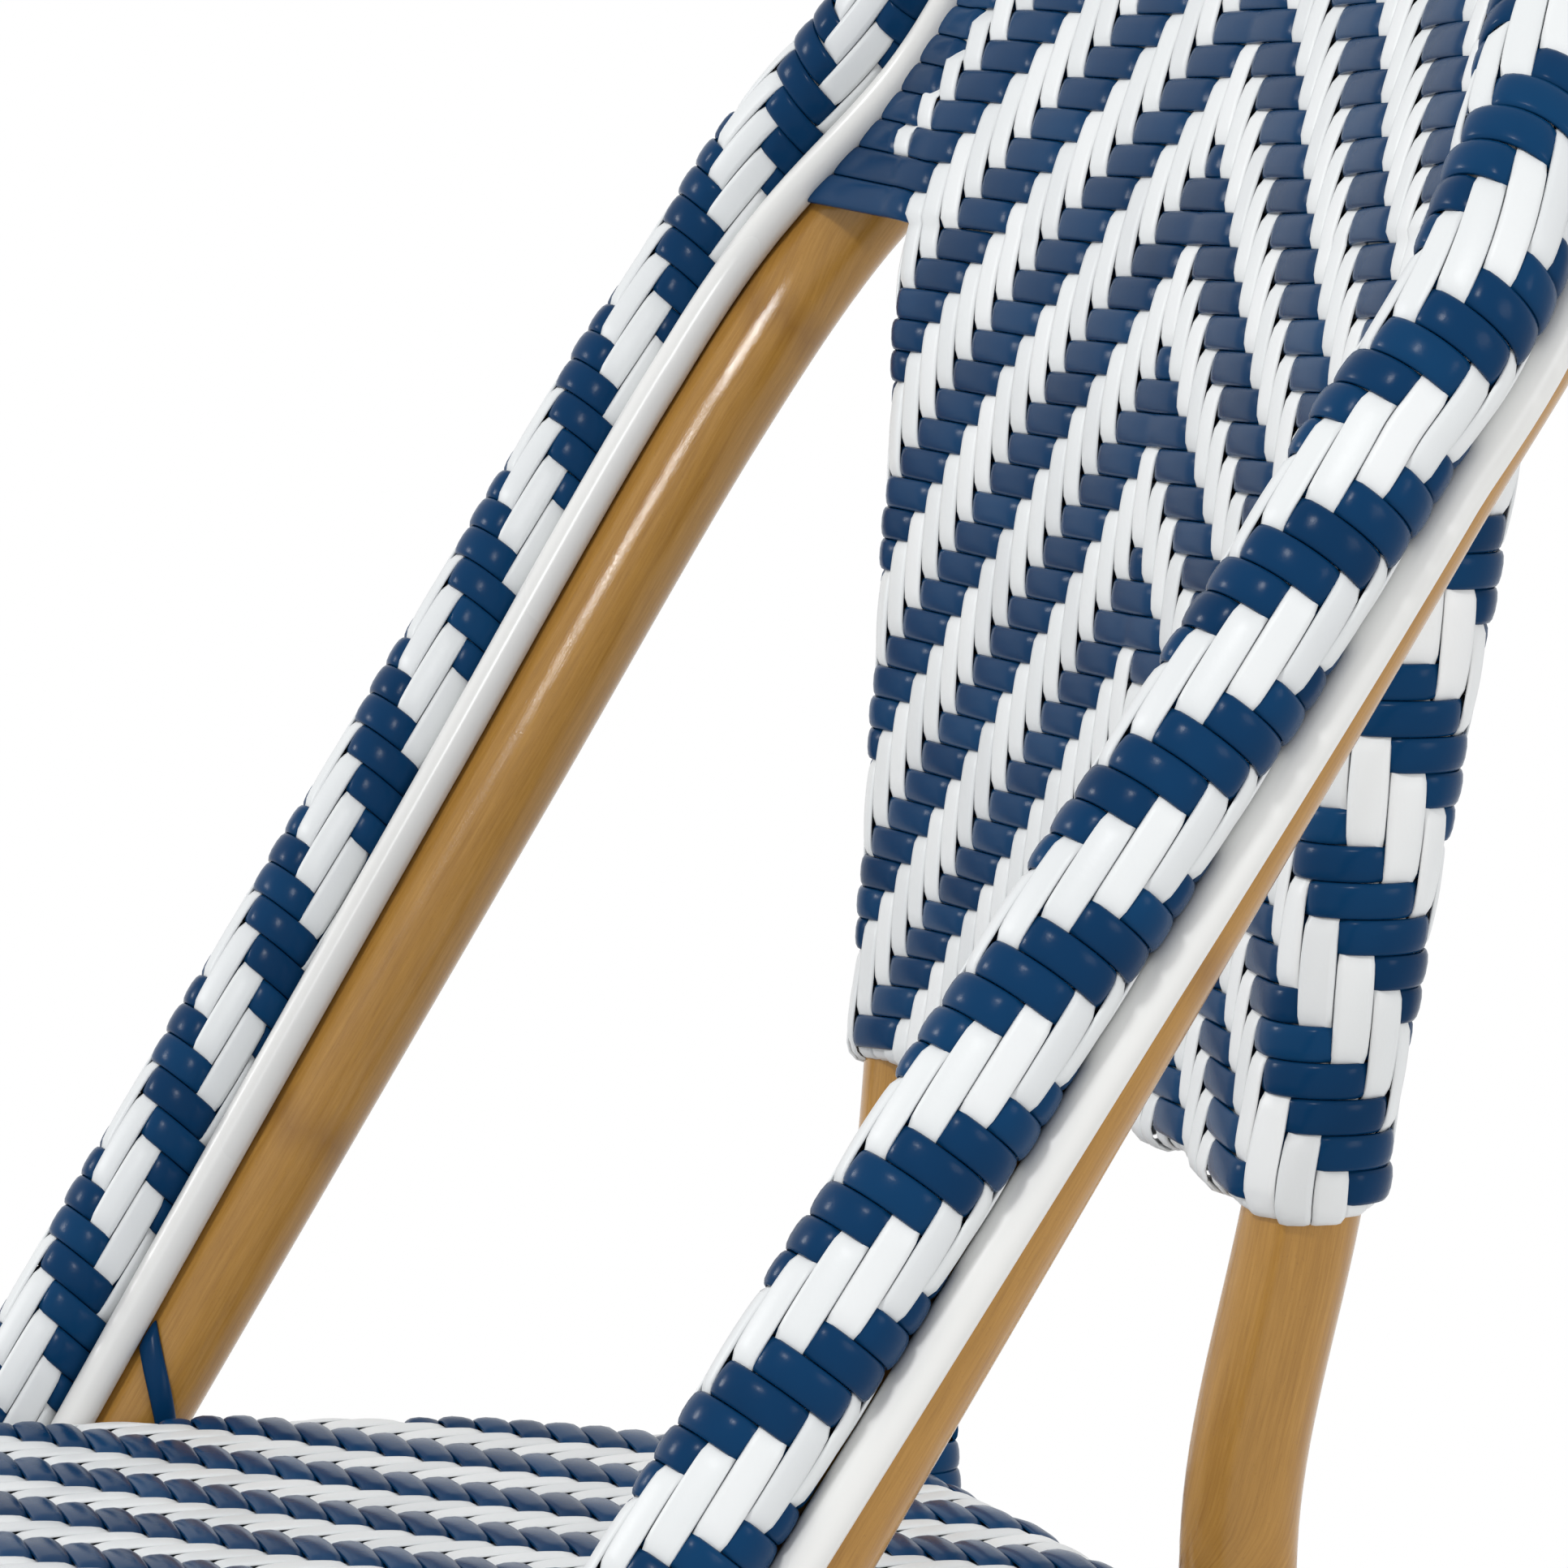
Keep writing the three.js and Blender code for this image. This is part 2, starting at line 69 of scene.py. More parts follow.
TUBE_RADIUS, TUBE_SIDES, RING_STEP = 12.7, 48, 5
SEAT_TOP, SHOULDER, CREST = 454.0, 700.0, 868.0
# where the arm passes the seat's top, and what it gains outwards and rearwards as it rises
ARM_OUT, ARM_REAR = 214.4, 3.1
ARM_SPREAD, ARM_RAKE = 0.018, 0.6264
CREST_REAR = 235.5
UP = np.array([0.0, 0.0, 1.0])


def unit(a):
    """Vectors brought to length 1."""
    return a / np.maximum(np.linalg.norm(a, axis=-1, keepdims=True), 1e-9)


def smooth(edge, other, value):
    """0 at one edge and 1 at the other, with a soft start and end."""
    t = np.clip((np.asarray(value, float) - edge) / (other - edge), 0, 1)
    return t * t * (3 - 2 * t)


def mirrored(points):
    return np.asarray(points, float) * [-1, 1, 1]


class Route:
    """A centripetal curve through points, read by its share of the length."""

    def __init__(self, points, closed=False, steps=60):
        p = np.array(points, float)
        if closed:
            p = np.vstack([p[-1:], p, p[:2]])
        else:
            p = np.vstack([2 * p[0] - p[1], p, 2 * p[-1] - p[-2]])
        gap = np.sqrt(np.linalg.norm(np.diff(p, axis=0), axis=1))
        t = np.linspace(0, 1, steps, endpoint=False)[:, None]
        runs = []
        for i in range(1, len(p) - 2):
            a, b, c, d = p[i - 1 : i + 3]
            g0, g1, g2 = gap[i - 1 : i + 2]
            m1 = ((b - a) / g0 - (c - a) / (g0 + g1) + (c - b) / g1) * g1
            m2 = ((c - b) / g1 - (d - b) / (g1 + g2) + (d - c) / g2) * g1
            runs.append(b + m1 * t + (3 * (c - b) - 2 * m1 - m2) * t**2 + (2 * (b - c) + m1 + m2) * t**3)
        self.points = np.vstack(runs + [p[-2:-1] if not closed else p[1:2]])
        far = np.concatenate([[0], np.cumsum(np.linalg.norm(np.diff(self.points, axis=0), axis=1))])
        self.length = far[-1]
        self.shares = far / far[-1]
        self.closed = closed

    def at(self, share):
        share = np.asarray(share, float)
        if self.closed:
            share = share % 1
        return np.stack([np.interp(share, self.shares, self.points[:, i]) for i in range(3)], -1)

    def along(self, share):
        """The direction at a share of the length, over a short reach on each side."""
        reach = 0.0015
        share = np.asarray(share, float)
        low, high = share - reach, share + reach
        if not self.closed:
            low, high = np.clip(low, 0, 1), np.clip(high, 0, 1)
        return unit(self.at(high) - self.at(low))

    def share_at_height(self, z, start=0.0, end=1.0):
        s = np.linspace(start, end, 3000)
        return np.interp(z, self.at(s)[:, 2], s)


def arm_point(z):
    return [ARM_OUT + ARM_SPREAD * (z - SEAT_TOP), ARM_REAR + ARM_RAKE * (z - SEAT_TOP), z]


# the arch's left half above the shoulder: shares of its half width, its rise and its sweep back
arch_shares = [(0.98, 0.256, 0.375), (0.853, 0.49, 0.71), (0.645, 0.757, 0.885), (0.345, 0.94, 0.974)]
shoulder = arm_point(SHOULDER)
arch_back, arch_rise = CREST_REAR - shoulder[1], CREST - SHOULDER
half_hoop = [arm_point(z) for z in (418, 512, 606, SHOULDER)] + [
    [shoulder[0] * side, shoulder[1] + arch_back * back, SHOULDER + arch_rise * rise]
    for side, rise, back in arch_shares
]
hoop = Route(half_hoop + [[0, CREST_REAR, CREST]] + list(mirrored(half_hoop[::-1])))


def sections(route, shares, radius, sides):
    """Rings of points round a route."""
    centre, ahead = route.at(shares), route.along(shares)
    side = unit(np.cross(ahead, UP))
    other = np.cross(side, ahead)
    turn = np.linspace(0, 2 * np.pi, sides, endpoint=False)[None, :, None]
    return centre[:, None] + radius * (np.cos(turn) * side[:, None] + np.sin(turn) * other[:, None])


def skin(rings, closed=False):
    """Quads over rings of points; open runs get end caps."""
    n, k = rings.shape[:2]
    grid = np.arange(n * k).reshape(n, k)
    ahead = np.roll(grid, -1, 0) if closed else grid[1:]
    here = grid if closed else grid[:-1]
    quads = np.stack([here, np.roll(here, -1, 1), np.roll(ahead, -1, 1), ahead], -1).reshape(-1, 4)
    caps = [] if closed else [grid[0][::-1], grid[-1]]
    return rings.reshape(-1, 3), quads, caps


def mesh_of(name, parts, material, replaced):
    """One object from several skins, riding on the chair."""
    points, loops, sizes, base = [], [], [], 0
    for verts, quads, caps in parts:
        points.append(verts)
        loops.append((quads + base).ravel())
        sizes.append(np.full(len(quads), 4))
        for cap in caps:
            loops.append(cap + base)
            sizes.append(np.array([len(cap)]))
        base += len(verts)
    points, loops, sizes = np.vstack(points) * 0.001, np.concatenate(loops), np.concatenate(sizes)
    mesh = bpy.data.meshes.new(name)
    mesh.vertices.add(len(points))
    mesh.vertices.foreach_set("co", points.ravel().astype(np.float32))
    mesh.loops.add(len(loops))
    mesh.loops.foreach_set("vertex_index", loops.astype(np.int32))
    mesh.polygons.add(len(sizes))
    mesh.polygons.foreach_set("loop_start", (np.cumsum(sizes) - sizes).astype(np.int32))
    mesh.polygons.foreach_set("use_smooth", sizes == 4)
    mesh.update(calc_edges=True)
    mesh.validate()
    mesh.materials.append(material)
    obj = bpy.data.objects.new(name, mesh)
    scene.collection.objects.link(obj)
    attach(obj, "root")
    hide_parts(*replaced)
    return obj


def carry(obj, name, values):
    """A value for each vertex, which the material reads by its name."""
    layer = obj.data.attributes.new(name, "FLOAT", "POINT")
    layer.data.foreach_set("value", np.asarray(values, np.float32))


def tube(name, route, radius, sides, material, slot, replaced, start=0, end=1):
    """A round tube along a route, or along the part of it between two shares of its length."""
    shares = np.linspace(start, end, max(3, int(route.length * abs(end - start) / RING_STEP)))
    turns = np.tile(np.arange(sides) / sides * 2 * np.pi, len(shares))
    obj = mesh_of(name, [skin(sections(route, shares, radius, sides))], material, replaced)
    carry(obj, "run", np.repeat(shares * route.length, sides))
    carry(obj, "round_x", np.cos(turns))
    carry(obj, "round_y", np.sin(turns))


class Wire:
    """A node's output that takes part in sums; each operator adds a Math node."""

    def __init__(self, socket):
        self.socket = socket
        self.tree = socket.id_data

    def out(self, key):
        """Another output of the same node."""
        return Wire(self.socket.node.outputs[key])

    def _math(self, kind, other):
        return node(self.tree, "ShaderNodeMath", {"operation": kind}, {0: self, 1: other})

    def __add__(self, other):
        return self._math("ADD", other)

    __radd__ = __add__

    def __mul__(self, other):
        return self._math("MULTIPLY", other)

    __rmul__ = __mul__

    def __sub__(self, other):
        return self._math("SUBTRACT", other)

    def __rsub__(self, other):
        return (self * -1) + other

    def clipped(self):
        return self._math("MAXIMUM", 0.0)._math("MINIMUM", 1.0)


def node(tree, kind, settings=None, inputs=None):
    """Adds a node, with its settings made before its inputs, and gives its first output."""
    added = tree.nodes.new(kind)
    for key, value in (settings or {}).items():
        if key == "stops":
            elements = added.color_ramp.elements
            while len(elements) < len(value):
                elements.new(0.5)
            for element, (place, colour) in zip(elements, value):
                element.position = place
                element.color = (*colour, 1)
        else:
            setattr(added, key, value)
    for key, value in (inputs or {}).items():
        socket = added.inputs[key]
        if isinstance(value, Wire):
            tree.links.new(value.socket, socket)
        elif isinstance(value, tuple) and len(socket.default_value) == 4:
            socket.default_value = (*value, 1)
        else:
            socket.default_value = value
    return Wire(added.outputs[0]) if added.outputs else None


def paint(*seen):
    """Linear colour from the 0-255 values seen on the real finish."""
    return tuple(c / 255 / 12.92 if c <= 10.3 else ((c / 255 + 0.055) / 1.055) ** 2.4 for c in seen)


def finish(name, constants, build):
    """A material: constants go on the shader's own sockets, build() adds what varies."""
    material = bpy.data.materials.new(name)
    material.use_nodes = True
    tree = material.node_tree
    tree.nodes.clear()
    shader = node(tree, "ShaderNodeBsdfPrincipled", None, {**constants, **build(tree)})
    node(tree, "ShaderNodeOutputMaterial", None, {"Surface": shader})
    return material


def attribute(tree, name):
    return node(tree, "ShaderNodeAttribute", {"attribute_name": name}).out("Fac")


def object_place(tree):
    return node(tree, "ShaderNodeTexCoord").out("Object")


def blended(tree, factor, low, high):
    """A colour between two."""
    return node(tree, "ShaderNodeMix", {"data_type": "RGBA"}, {"Factor": factor, 6: low, 7: high}).out(2)


def joined_vector(tree, x, y, z):
    return node(tree, "ShaderNodeCombineXYZ", None, {0: x, 1: y, 2: z})


def noise(tree, where, scale, detail, roughness=0.5):
    inputs = {"Vector": where, "Scale": scale, "Detail": detail, "Roughness": roughness}
    return node(tree, "ShaderNodeTexNoise", None, inputs)


def ramp(tree, factor, *stops):
    """Colours at places from 0 to 1, read by a factor."""
    return node(tree, "ShaderNodeValToRGB", {"stops": stops}, {"Fac": factor})


def bumped(tree, height, distance, strength):
    inputs = {"Height": height, "Distance": distance, "Strength": strength}
    return node(tree, "ShaderNodeBump", None, inputs)


def bamboo_paint(tree):
    run, turn_x, turn_y = (attribute(tree, name) for name in ("run", "round_x", "round_y"))
    grain = joined_vector(tree, run * 0.012, turn_x * 3.0, turn_y * 3.0)
    broad = joined_vector(tree, run * 0.004, turn_x * 1.1, turn_y * 1.1)
    fine = noise(tree, grain, 5.0, 5.0, 0.62)
    patch = noise(tree, broad, 2.2, 3.0)
    hair = noise(tree, joined_vector(tree, run * 0.05, turn_x * 24, turn_y * 24), 3.0, 3.0)
    speck = noise(tree, joined_vector(tree, run * 0.6, turn_x * 9, turn_y * 9), 2.0, 2.0)
    tone = ramp(
        tree, fine,
        (0.3, paint(150, 106, 44)), (0.5, paint(172, 126, 56)), (0.72, paint(190, 144, 72)),
    )
    shade = ramp(
        tree, patch,
        (0.3, paint(156, 112, 48)), (0.55, paint(178, 132, 60)), (0.75, paint(168, 124, 58)),
    )
    colour = blended(tree, 0.5, tone, shade)
    streak = ((hair - 0.56) * 6.0).clipped() * 0.22
    colour = blended(tree, streak, colour, paint(120, 80, 36))
    fleck = ((speck - 0.62) * 5.0).clipped() * 0.3
    colour = blended(tree, fleck, colour, paint(128, 88, 42))
    # faint nodes of the cane, one each 240 mm
    step = node(tree, "ShaderNodeMath", {"operation": "PINGPONG"}, {0: run + patch * 18.0, 1: 120.0})
    joint = (1.0 - step * 0.12).clipped()
    colour = blended(tree, joint * 0.35, colour, paint(118, 78, 38))
    return {
        "Base Color": colour,
        "Roughness": fine * 0.06 + 0.13,
        "Normal": bumped(tree, hair * 0.6 + speck * 0.4 - joint * 0.8, 0.0002, 0.25),
    }


bamboo = finish("bamboo_look_paint", {"Specular IOR Level": 0.45, "IOR": 1.5}, bamboo_paint)
tube(
    "hoop_tube", hoop, TUBE_RADIUS, TUBE_SIDES, bamboo, "bamboo_look_tube",
    ["arm_tube_left", "arm_tube_right", "crest_tube"],
)


# Uprights and legs
# The uprights run through the weave of the back and on as rear legs; the front legs and the bows
# that brace them are painted in the same way. All are welded, the front legs under the seat ring.

SLEEVE_FOOT = 545.0
# where the upright stands at the foot of its sleeve, and what it gains as it rises
UPRIGHT_OUT, UPRIGHT_REAR = 120, 174.5
UPRIGHT_SPREAD, UPRIGHT_RAKE = 0.156, 0.124
RAIL_LEVEL = 439.1
RAIL_SPAN, RAIL_REAR, SEAT_DEPTH = 186.5, 151.4, 406.4
GLIDE_HEIGHT = 6.3
BOW_RADIUS, BOW_SIDES = 8, 32
BOW_FOOT, BOW_MIDDLE = 232.0, 415.9
# shares of a route's length at which a tube stops inside the one that it is welded to
WELDED, BOW_ENDS = 0.985, (0.02, 0.98)
# where the upright ends at the hoop and the front leg at the seat ring, as shares of those two
UPRIGHT_AT, FRONT_LEG_AT = 0.37, 0.352
REAR_FOOT = np.array([158, 255.9, 0])
# how far the front leg's foot stands out and forwards from its top
FRONT_SPLAY = np.array([16, -22])


def upright_point(z):
    above = z - SLEEVE_FOOT
    return [UPRIGHT_OUT + UPRIGHT_SPREAD * above, UPRIGHT_REAR + UPRIGHT_RAKE * above, z]


rear_knee = np.array(upright_point(RAIL_LEVEL))
upright = Route(
    [REAR_FOOT + (rear_knee - REAR_FOOT) * share for share in (0, 0.33, 0.66, 0.88)]
    + [upright_point(z) for z in (468.9, 545, 622.5, 700, 738.75)]
    + [hoop.at(UPRIGHT_AT)]
)
# the seat ring's left half from the rear middle: shares of its half width and of its depth
ring_shares = [
    (0.33, 0.005), (0.53, 0.036), (0.685, 0.1), (0.79, 0.163), (0.865, 0.21), (0.94, 0.3), (0.985, 0.385),
    (1.015, 0.5), (1.02, 0.63), (1.0, 0.78), (0.955, 0.885), (0.84, 0.95), (0.62, 0.983), (0.32, 0.997),
]
ring_left = [[RAIL_SPAN * side, RAIL_REAR - SEAT_DEPTH * depth, RAIL_LEVEL] for side, depth in ring_shares]
ring = Route(
    [[0, RAIL_REAR, RAIL_LEVEL]] + ring_left + [[0, RAIL_REAR - SEAT_DEPTH, RAIL_LEVEL]]
    + list(mirrored(ring_left[::-1])),
    closed=True,
)
leg_top = ring.at(FRONT_LEG_AT)
front_leg = Route([[*(leg_top[:2] + FRONT_SPLAY), 0], leg_top])


def mirror_route(route):
    twin = copy.copy(route)
    twin.points = mirrored(route.points)
    return twin


def bow(start, end, middle):
    """An arch between two legs, through a point that it passes halfway."""
    lift = middle - (start + end) / 2
    t = np.linspace(0, 1, 25)[:, None]
    return Route(start + (end - start) * t + lift * 4 * t * (1 - t), steps=4)


foot_share = upright.share_at_height(GLIDE_HEIGHT)
rear_legs = {"left": upright, "right": mirror_route(upright)}
front_legs = {"left": front_leg, "right": mirror_route(front_leg)}
for side in ("left", "right"):
    tube(
        f"upright_{side}", rear_legs[side], TUBE_RADIUS, TUBE_SIDES, bamboo, "bamboo_look_tube",
        [f"rear_leg_{side}"], foot_share, WELDED,
    )
    tube(
        f"fore_leg_{side}", front_legs[side], TUBE_RADIUS, TUBE_SIDES, bamboo, "bamboo_look_tube",
        [f"front_leg_{side}"], GLIDE_HEIGHT / RAIL_LEVEL, WELDED,
    )
front_weld = front_leg.at(BOW_FOOT / RAIL_LEVEL)
rear_weld = upright.at(upright.share_at_height(BOW_FOOT))
side_bow = bow(front_weld, rear_weld, np.array([RAIL_SPAN, (front_weld[1] + rear_weld[1]) / 2, BOW_MIDDLE]))
front_bow = bow(front_weld, mirrored(front_weld), np.array([0, RAIL_REAR - SEAT_DEPTH, BOW_MIDDLE]))
rear_bow = bow(rear_weld, mirrored(rear_weld), np.array([0, RAIL_REAR, BOW_MIDDLE]))
for name, route, plain in (
    ("brace_side_left", side_bow, "side_bow_left"),
    ("brace_side_right", mirror_route(side_bow), "side_bow_right"),
    ("brace_front", front_bow, "front_bow"),
    ("brace_rear", rear_bow, "rear_bow"),
):
    tube(name, route, BOW_RADIUS, BOW_SIDES, bamboo, "bamboo_look_tube", [plain], *BOW_ENDS)


# Trim rods
# Two round plastic rods, white right through, lie in the valleys between the hoop's tube and its
# padded roll. They run from one end of the hoop to the other and are held between the two.

ROD_RADIUS, ROD_SIDES = 4.75, 24
ROD_AWAY, ROD_SPREAD = 17.75, math.radians(44.6)
# the roll faces forwards at the arms' feet and turns outwards towards the crest, in degrees
TURN_AT_FOOT, TURN_GAINED = 14, 57


def hoop_frame(share):
    """Square to the hoop: its front and outer directions, and how far out the roll is turned."""
    ahead = hoop.along(share)
    front = unit(np.array([0, -1.0, 0]) + ahead * ahead[..., 1:2])
    turn = np.radians(TURN_AT_FOOT + TURN_GAINED * (1 - np.abs(2 * np.asarray(share) - 1)))[..., None]
    return front, np.cross(ahead, front), turn


def beside_hoop(away, extra):
    """A line that follows the hoop at a distance, turned by extra from the roll's middle."""
    share = np.linspace(0, 1, 400)
    front, outer, turn = hoop_frame(share)
    aside = np.cos(turn + extra) * front + np.sin(turn + extra) * outer
    return Route(hoop.at(share) + away * aside, steps=2)


def white_plastic(tree):
    place = object_place(tree)
    cloud = noise(tree, place, 9.0, 3.0)
    return {
        "Base Color": ramp(tree, cloud, (0.3, paint(224, 224, 222)), (0.7, paint(230, 230, 228))),
        "Roughness": cloud * 0.12 + 0.22,
        "Normal": bumped(tree, noise(tree, place, 260.0, 2.0), 0.0001, 0.2),
    }


rod_white = finish("trim_rod_white", {"IOR": 1.48}, white_plastic)
for name, extra in (("inner", -ROD_SPREAD), ("outer", ROD_SPREAD)):
    tube(
        f"{name}_trim_rod", beside_hoop(ROD_AWAY, extra), ROD_RADIUS, ROD_SIDES, rod_white, "white_plastic",
        [f"{name}_rod_left", f"{name}_rod_right", f"{name}_rod_crest"],
    )


# Padded roll
# A core tube covered by weaving: twelve white strands run along it and navy strand is wound
# round it row by row, over three and under three, each row one strand further round.

ROLL_AWAY, ROLL_MIDDLE, ROLL_WARPS = 28.2, 13.0, 12
ROLL_LIFT, ROLL_ARCH = 0.85, 0.4
# pairs, for the sitter's left and right half: the rows' pitch, start and lean, the twill's start
# and the warps' turn round the roll
ROLL_ROW, ROLL_START, ROLL_LEAN = (7.87, 8.4), (2.8, 0.4), (1.5, 2.6)
ROLL_TWILL, ROLL_TURN = (0.5, 1.5), (0.34, 0.0)
# a strand's section: across as shares of half its width, up as shares of half its thickness
navy_section = np.array([
    (-1, -0.25), (-0.93, 0.3), (-0.72, 0.72), (-0.3, 0.97), (0.3, 0.97), (0.72, 0.72), (0.93, 0.3),
    (1, -0.25), (0.6, -0.9), (-0.6, -0.9),
])
white_section = np.array([
    (-1, -0.1), (-0.92, 0.6), (-0.6, 0.95), (0.6, 0.95), (0.92, 0.6), (1, -0.1), (0.6, -0.9), (-0.6, -0.9),
])
NAVY_THICK, WHITE_THICK = 2.0, 1.2
# half a strand's width, as a share of the pitch
ROW_SHARE, WARP_SHARE = 0.502, 0.495
# points along a strand for each one that it crosses
PER_WARP = 4
roll_line = beside_hoop(ROLL_AWAY, 0)
share_of_hoop = np.linspace(0, 1, len(roll_line.shares))


def laid(place, section, half, lift, thick, closed=False):
    """One strand laid on a surface; place() gives points and outward normals beside its line."""
    rings = []
    for across, up in section:
        point, normal = place(across * half)
        rings.append(point + normal * (lift + up * thick / 2)[:, None])
    rings = np.stack(rings, 1)
    middle, normal = place(0.0)
    span = rings[:, section[:, 0].argmax()] - rings[:, 0]
    if (np.cross(normal, np.gradient(middle, axis=0)) * span).sum() < 0:
        rings = rings[:, ::-1]
    return skin(rings, closed)


def crossing(phase):
    """+1 for the three crossings where a strand is on top, -1 for the three where it is beneath."""
    return np.tanh(5 * np.sin(np.pi * phase / 3))


def woven(phase, lift, arch):
    """A strand's height: on top and arched for phases 0 to 3, then beneath and flat for three more."""
    return lift * crossing(phase) + arch * np.maximum(np.sin(np.pi * phase / 3), 0)


def strands(name, parts, material, replaced, seed):
    """One object from laid strands, each with a tone of its own for small differences of colour."""
    obj = mesh_of(name, parts, material, replaced)
    random = np.random.default_rng(seed)
    carry(obj, "tone", np.concatenate([np.full(len(part[0]), random.random()) for part in parts]))


def navy_strand_paint(tree):
    place = object_place(tree)
    tone = attribute(tree, "tone")
    cloud = noise(tree, place, 24.0, 3.0)
    grain = noise(tree, place, 900.0, 2.0)
    colour = ramp(
        tree, cloud * 0.55 + tone * 0.3 + 0.08,
        (0.2, paint(6, 44, 78)), (0.5, paint(9, 53, 91)), (0.8, paint(15, 63, 103)),
    )
    return {
        "Base Color": colour,
        "Roughness": cloud * 0.08 + grain * 0.06 + 0.17,
        "Normal": bumped(tree, grain, 0.0001, 0.25),
    }


def white_strand_paint(tree):
    place = object_place(tree)
    tone = attribute(tree, "tone")
    cloud = noise(tree, place, 18.0, 3.0)
    grain = noise(tree, place, 900.0, 2.0)
    colour = ramp(
        tree, cloud * 0.5 + tone * 0.4 + 0.05,
        (0.2, paint(214, 217, 219)), (0.5, paint(225, 228, 229)), (0.8, paint(232, 234, 235)),
    )
    return {
        "Base Color": colour,
        "Roughness": cloud * 0.12 + grain * 0.06 + 0.3,
        "Normal": bumped(tree, grain, 0.0001, 0.3),
    }


navy = finish("navy_strand", {"IOR": 1.5, "Specular IOR Level": 0.07}, navy_strand_paint)
white = finish("white_strand", {"IOR": 1.48, "Specular IOR Level": 0.35}, white_strand_paint)


def of_half(row, pair):
    """The left half's value or the right's; rows of the left half are below zero."""
    return np.where(np.asarray(row) < -0.5, *pair)


def on_roll(turn, row):
    """The roll's middle layer and its outward direction; turn 0 faces front, rows count from the crest."""
    turn, row = np.broadcast_arrays(np.asarray(turn, float), np.asarray(row, float))
    counted = np.abs(row)
    settled = smooth(5, 30, counted)
    lean = of_half(row, ROLL_LEAN) * settled * np.cos(turn)
    beyond = of_half(row, ROLL_ROW) * counted + of_half(row, ROLL_START) * smooth(0, 9, counted) - lean
    part = np.clip(0.5 + np.where(row < 0, -1, 1) * beyond / roll_line.length, 0, 1)
    front, outer, _ = hoop_frame(np.interp(part, roll_line.shares, share_of_hoop))
    turn = turn + of_half(row, ROLL_TURN) * settled
    direction = np.cos(turn)[..., None] * front + np.sin(turn)[..., None] * outer
    return roll_line.at(part) + ROLL_MIDDLE * direction, direction


def roll_lift(warps, rows):
    """A navy row's height; a warp's is the same, three strands further on."""
    return woven(warps + np.abs(rows) + of_half(rows, ROLL_TWILL), ROLL_LIFT, ROLL_ARCH)


rows_left, rows_right = (
    int((roll_line.length / 2 - start) / pitch) for start, pitch in zip(ROLL_START, ROLL_ROW)
)
warp_turn = 2 * np.pi / ROLL_WARPS
navy_parts, white_parts = [], []
around = np.arange(ROLL_WARPS * PER_WARP) / PER_WARP
for row in range(-rows_left, rows_right + 1):

    def beside_row(aside):
        return on_roll(around * warp_turn, row + aside)

    lift = roll_lift(around, row)
    navy_parts.append(laid(beside_row, navy_section, ROW_SHARE, lift, NAVY_THICK, closed=True))
rows = np.arange(-rows_left * PER_WARP, rows_right * PER_WARP + 1) / PER_WARP
for warp in range(ROLL_WARPS):

    def beside_warp(aside):
        return on_roll((warp + aside) * warp_turn, rows)

    white_parts.append(laid(beside_warp, white_section, WARP_SHARE, roll_lift(warp + 3, rows), WHITE_THICK))
roll_weaves = ["roll_weave_left", "roll_weave_right", "roll_weave_crest"]
strands("roll_navy_strand", navy_parts, navy, roll_weaves, 1)
strands("roll_white_strand", white_parts, white, roll_weaves, 2)


# Woven back
# One closed bag of weaving: it goes round both uprights, and above the shoulders it widens to the
# hoop and is wound over it. White strands run up, navy strands across, in a twill that is mirrored
# on the middle line; the strands fan out with the uprights.

WEAVE_GAP, WEAVE_HALF = 0.3, 1.6
SLEEVE_MIDDLE, SLEEVE_REACH, CUFF = TUBE_RADIUS + WEAVE_GAP + WEAVE_HALF, 26.7, 1.2
CUFF_HEIGHTS = (568, 548)
WEB_HALF, SWELL_POWER = 5.5, 1.7
PANEL_SWEEP = 23
# the heights that the bag's table covers, the width that the head's does, and the span of the
# upright that they are read from
BAG_FOOT, BAG_TOP, HEAD_HALF, STEM_SPAN = 530, 775, 236, (0.4, 1.0)
FRONT_WARPS, LAST_ROW, HEAD_ROWS = 20, 26, 16
# the rows' pitch, and the height of row 0 in the middle; rows below it count up
BACK_ROW, ROW_ZERO = 7.6, 748.7
# how far the rows rise from the middle to the sleeves, and what the sitter's left loses of it
ROW_RISE, LEFT_LOSS, DROOP = 3.5, 2.7, 0.1
EAR_RISE, HEM_RISE = 0.7, 4.0
BACK_LIFT, BACK_ARCH, TWILL_START = 0.85, 0.6, 0.5
# the warps on the sitter's left upright stand straighter than its tube leans
STRAIGHTER = 0.1
HALF_BAG = 2 * FRONT_WARPS
BAG_WARPS = 2 * HALF_BAG
# steps of the tables below: in height, in rows and across
BAG_STEP, HEAD_STEP, ACROSS_STEP = 3.0, 0.2, 0.5
# how far the head's front and rear sheets reach round the hoop, as turns of its section
FRONT_END, REAR_END = -ROD_SPREAD, math.radians(54.6)


def panel_plane(z):
    return UPRIGHT_REAR + UPRIGHT_RAKE * (np.asarray(z, float) - SLEEVE_FOOT)


def panel_sweep(z):
    return PANEL_SWEEP * smooth(SHOULDER, CREST, z)


def row_lift(warps, rows, left):
    """How far a row stands above its middle, by warps out from the middle."""
    rise = np.where(np.asarray(left) > 0, ROW_RISE - LEFT_LOSS * smooth(0, 8, rows), ROW_RISE)
    droop = DROOP * np.maximum(rows, 0)
    ear = EAR_RISE * np.maximum(np.asarray(warps, float) - 18, 0) * smooth(8, 0, rows)
    hem = smooth(19, 26, rows) * (1 - smooth(9, 18, warps))
    return (rise - droop) * smooth(6, 20, warps) + ear + HEM_RISE * hem


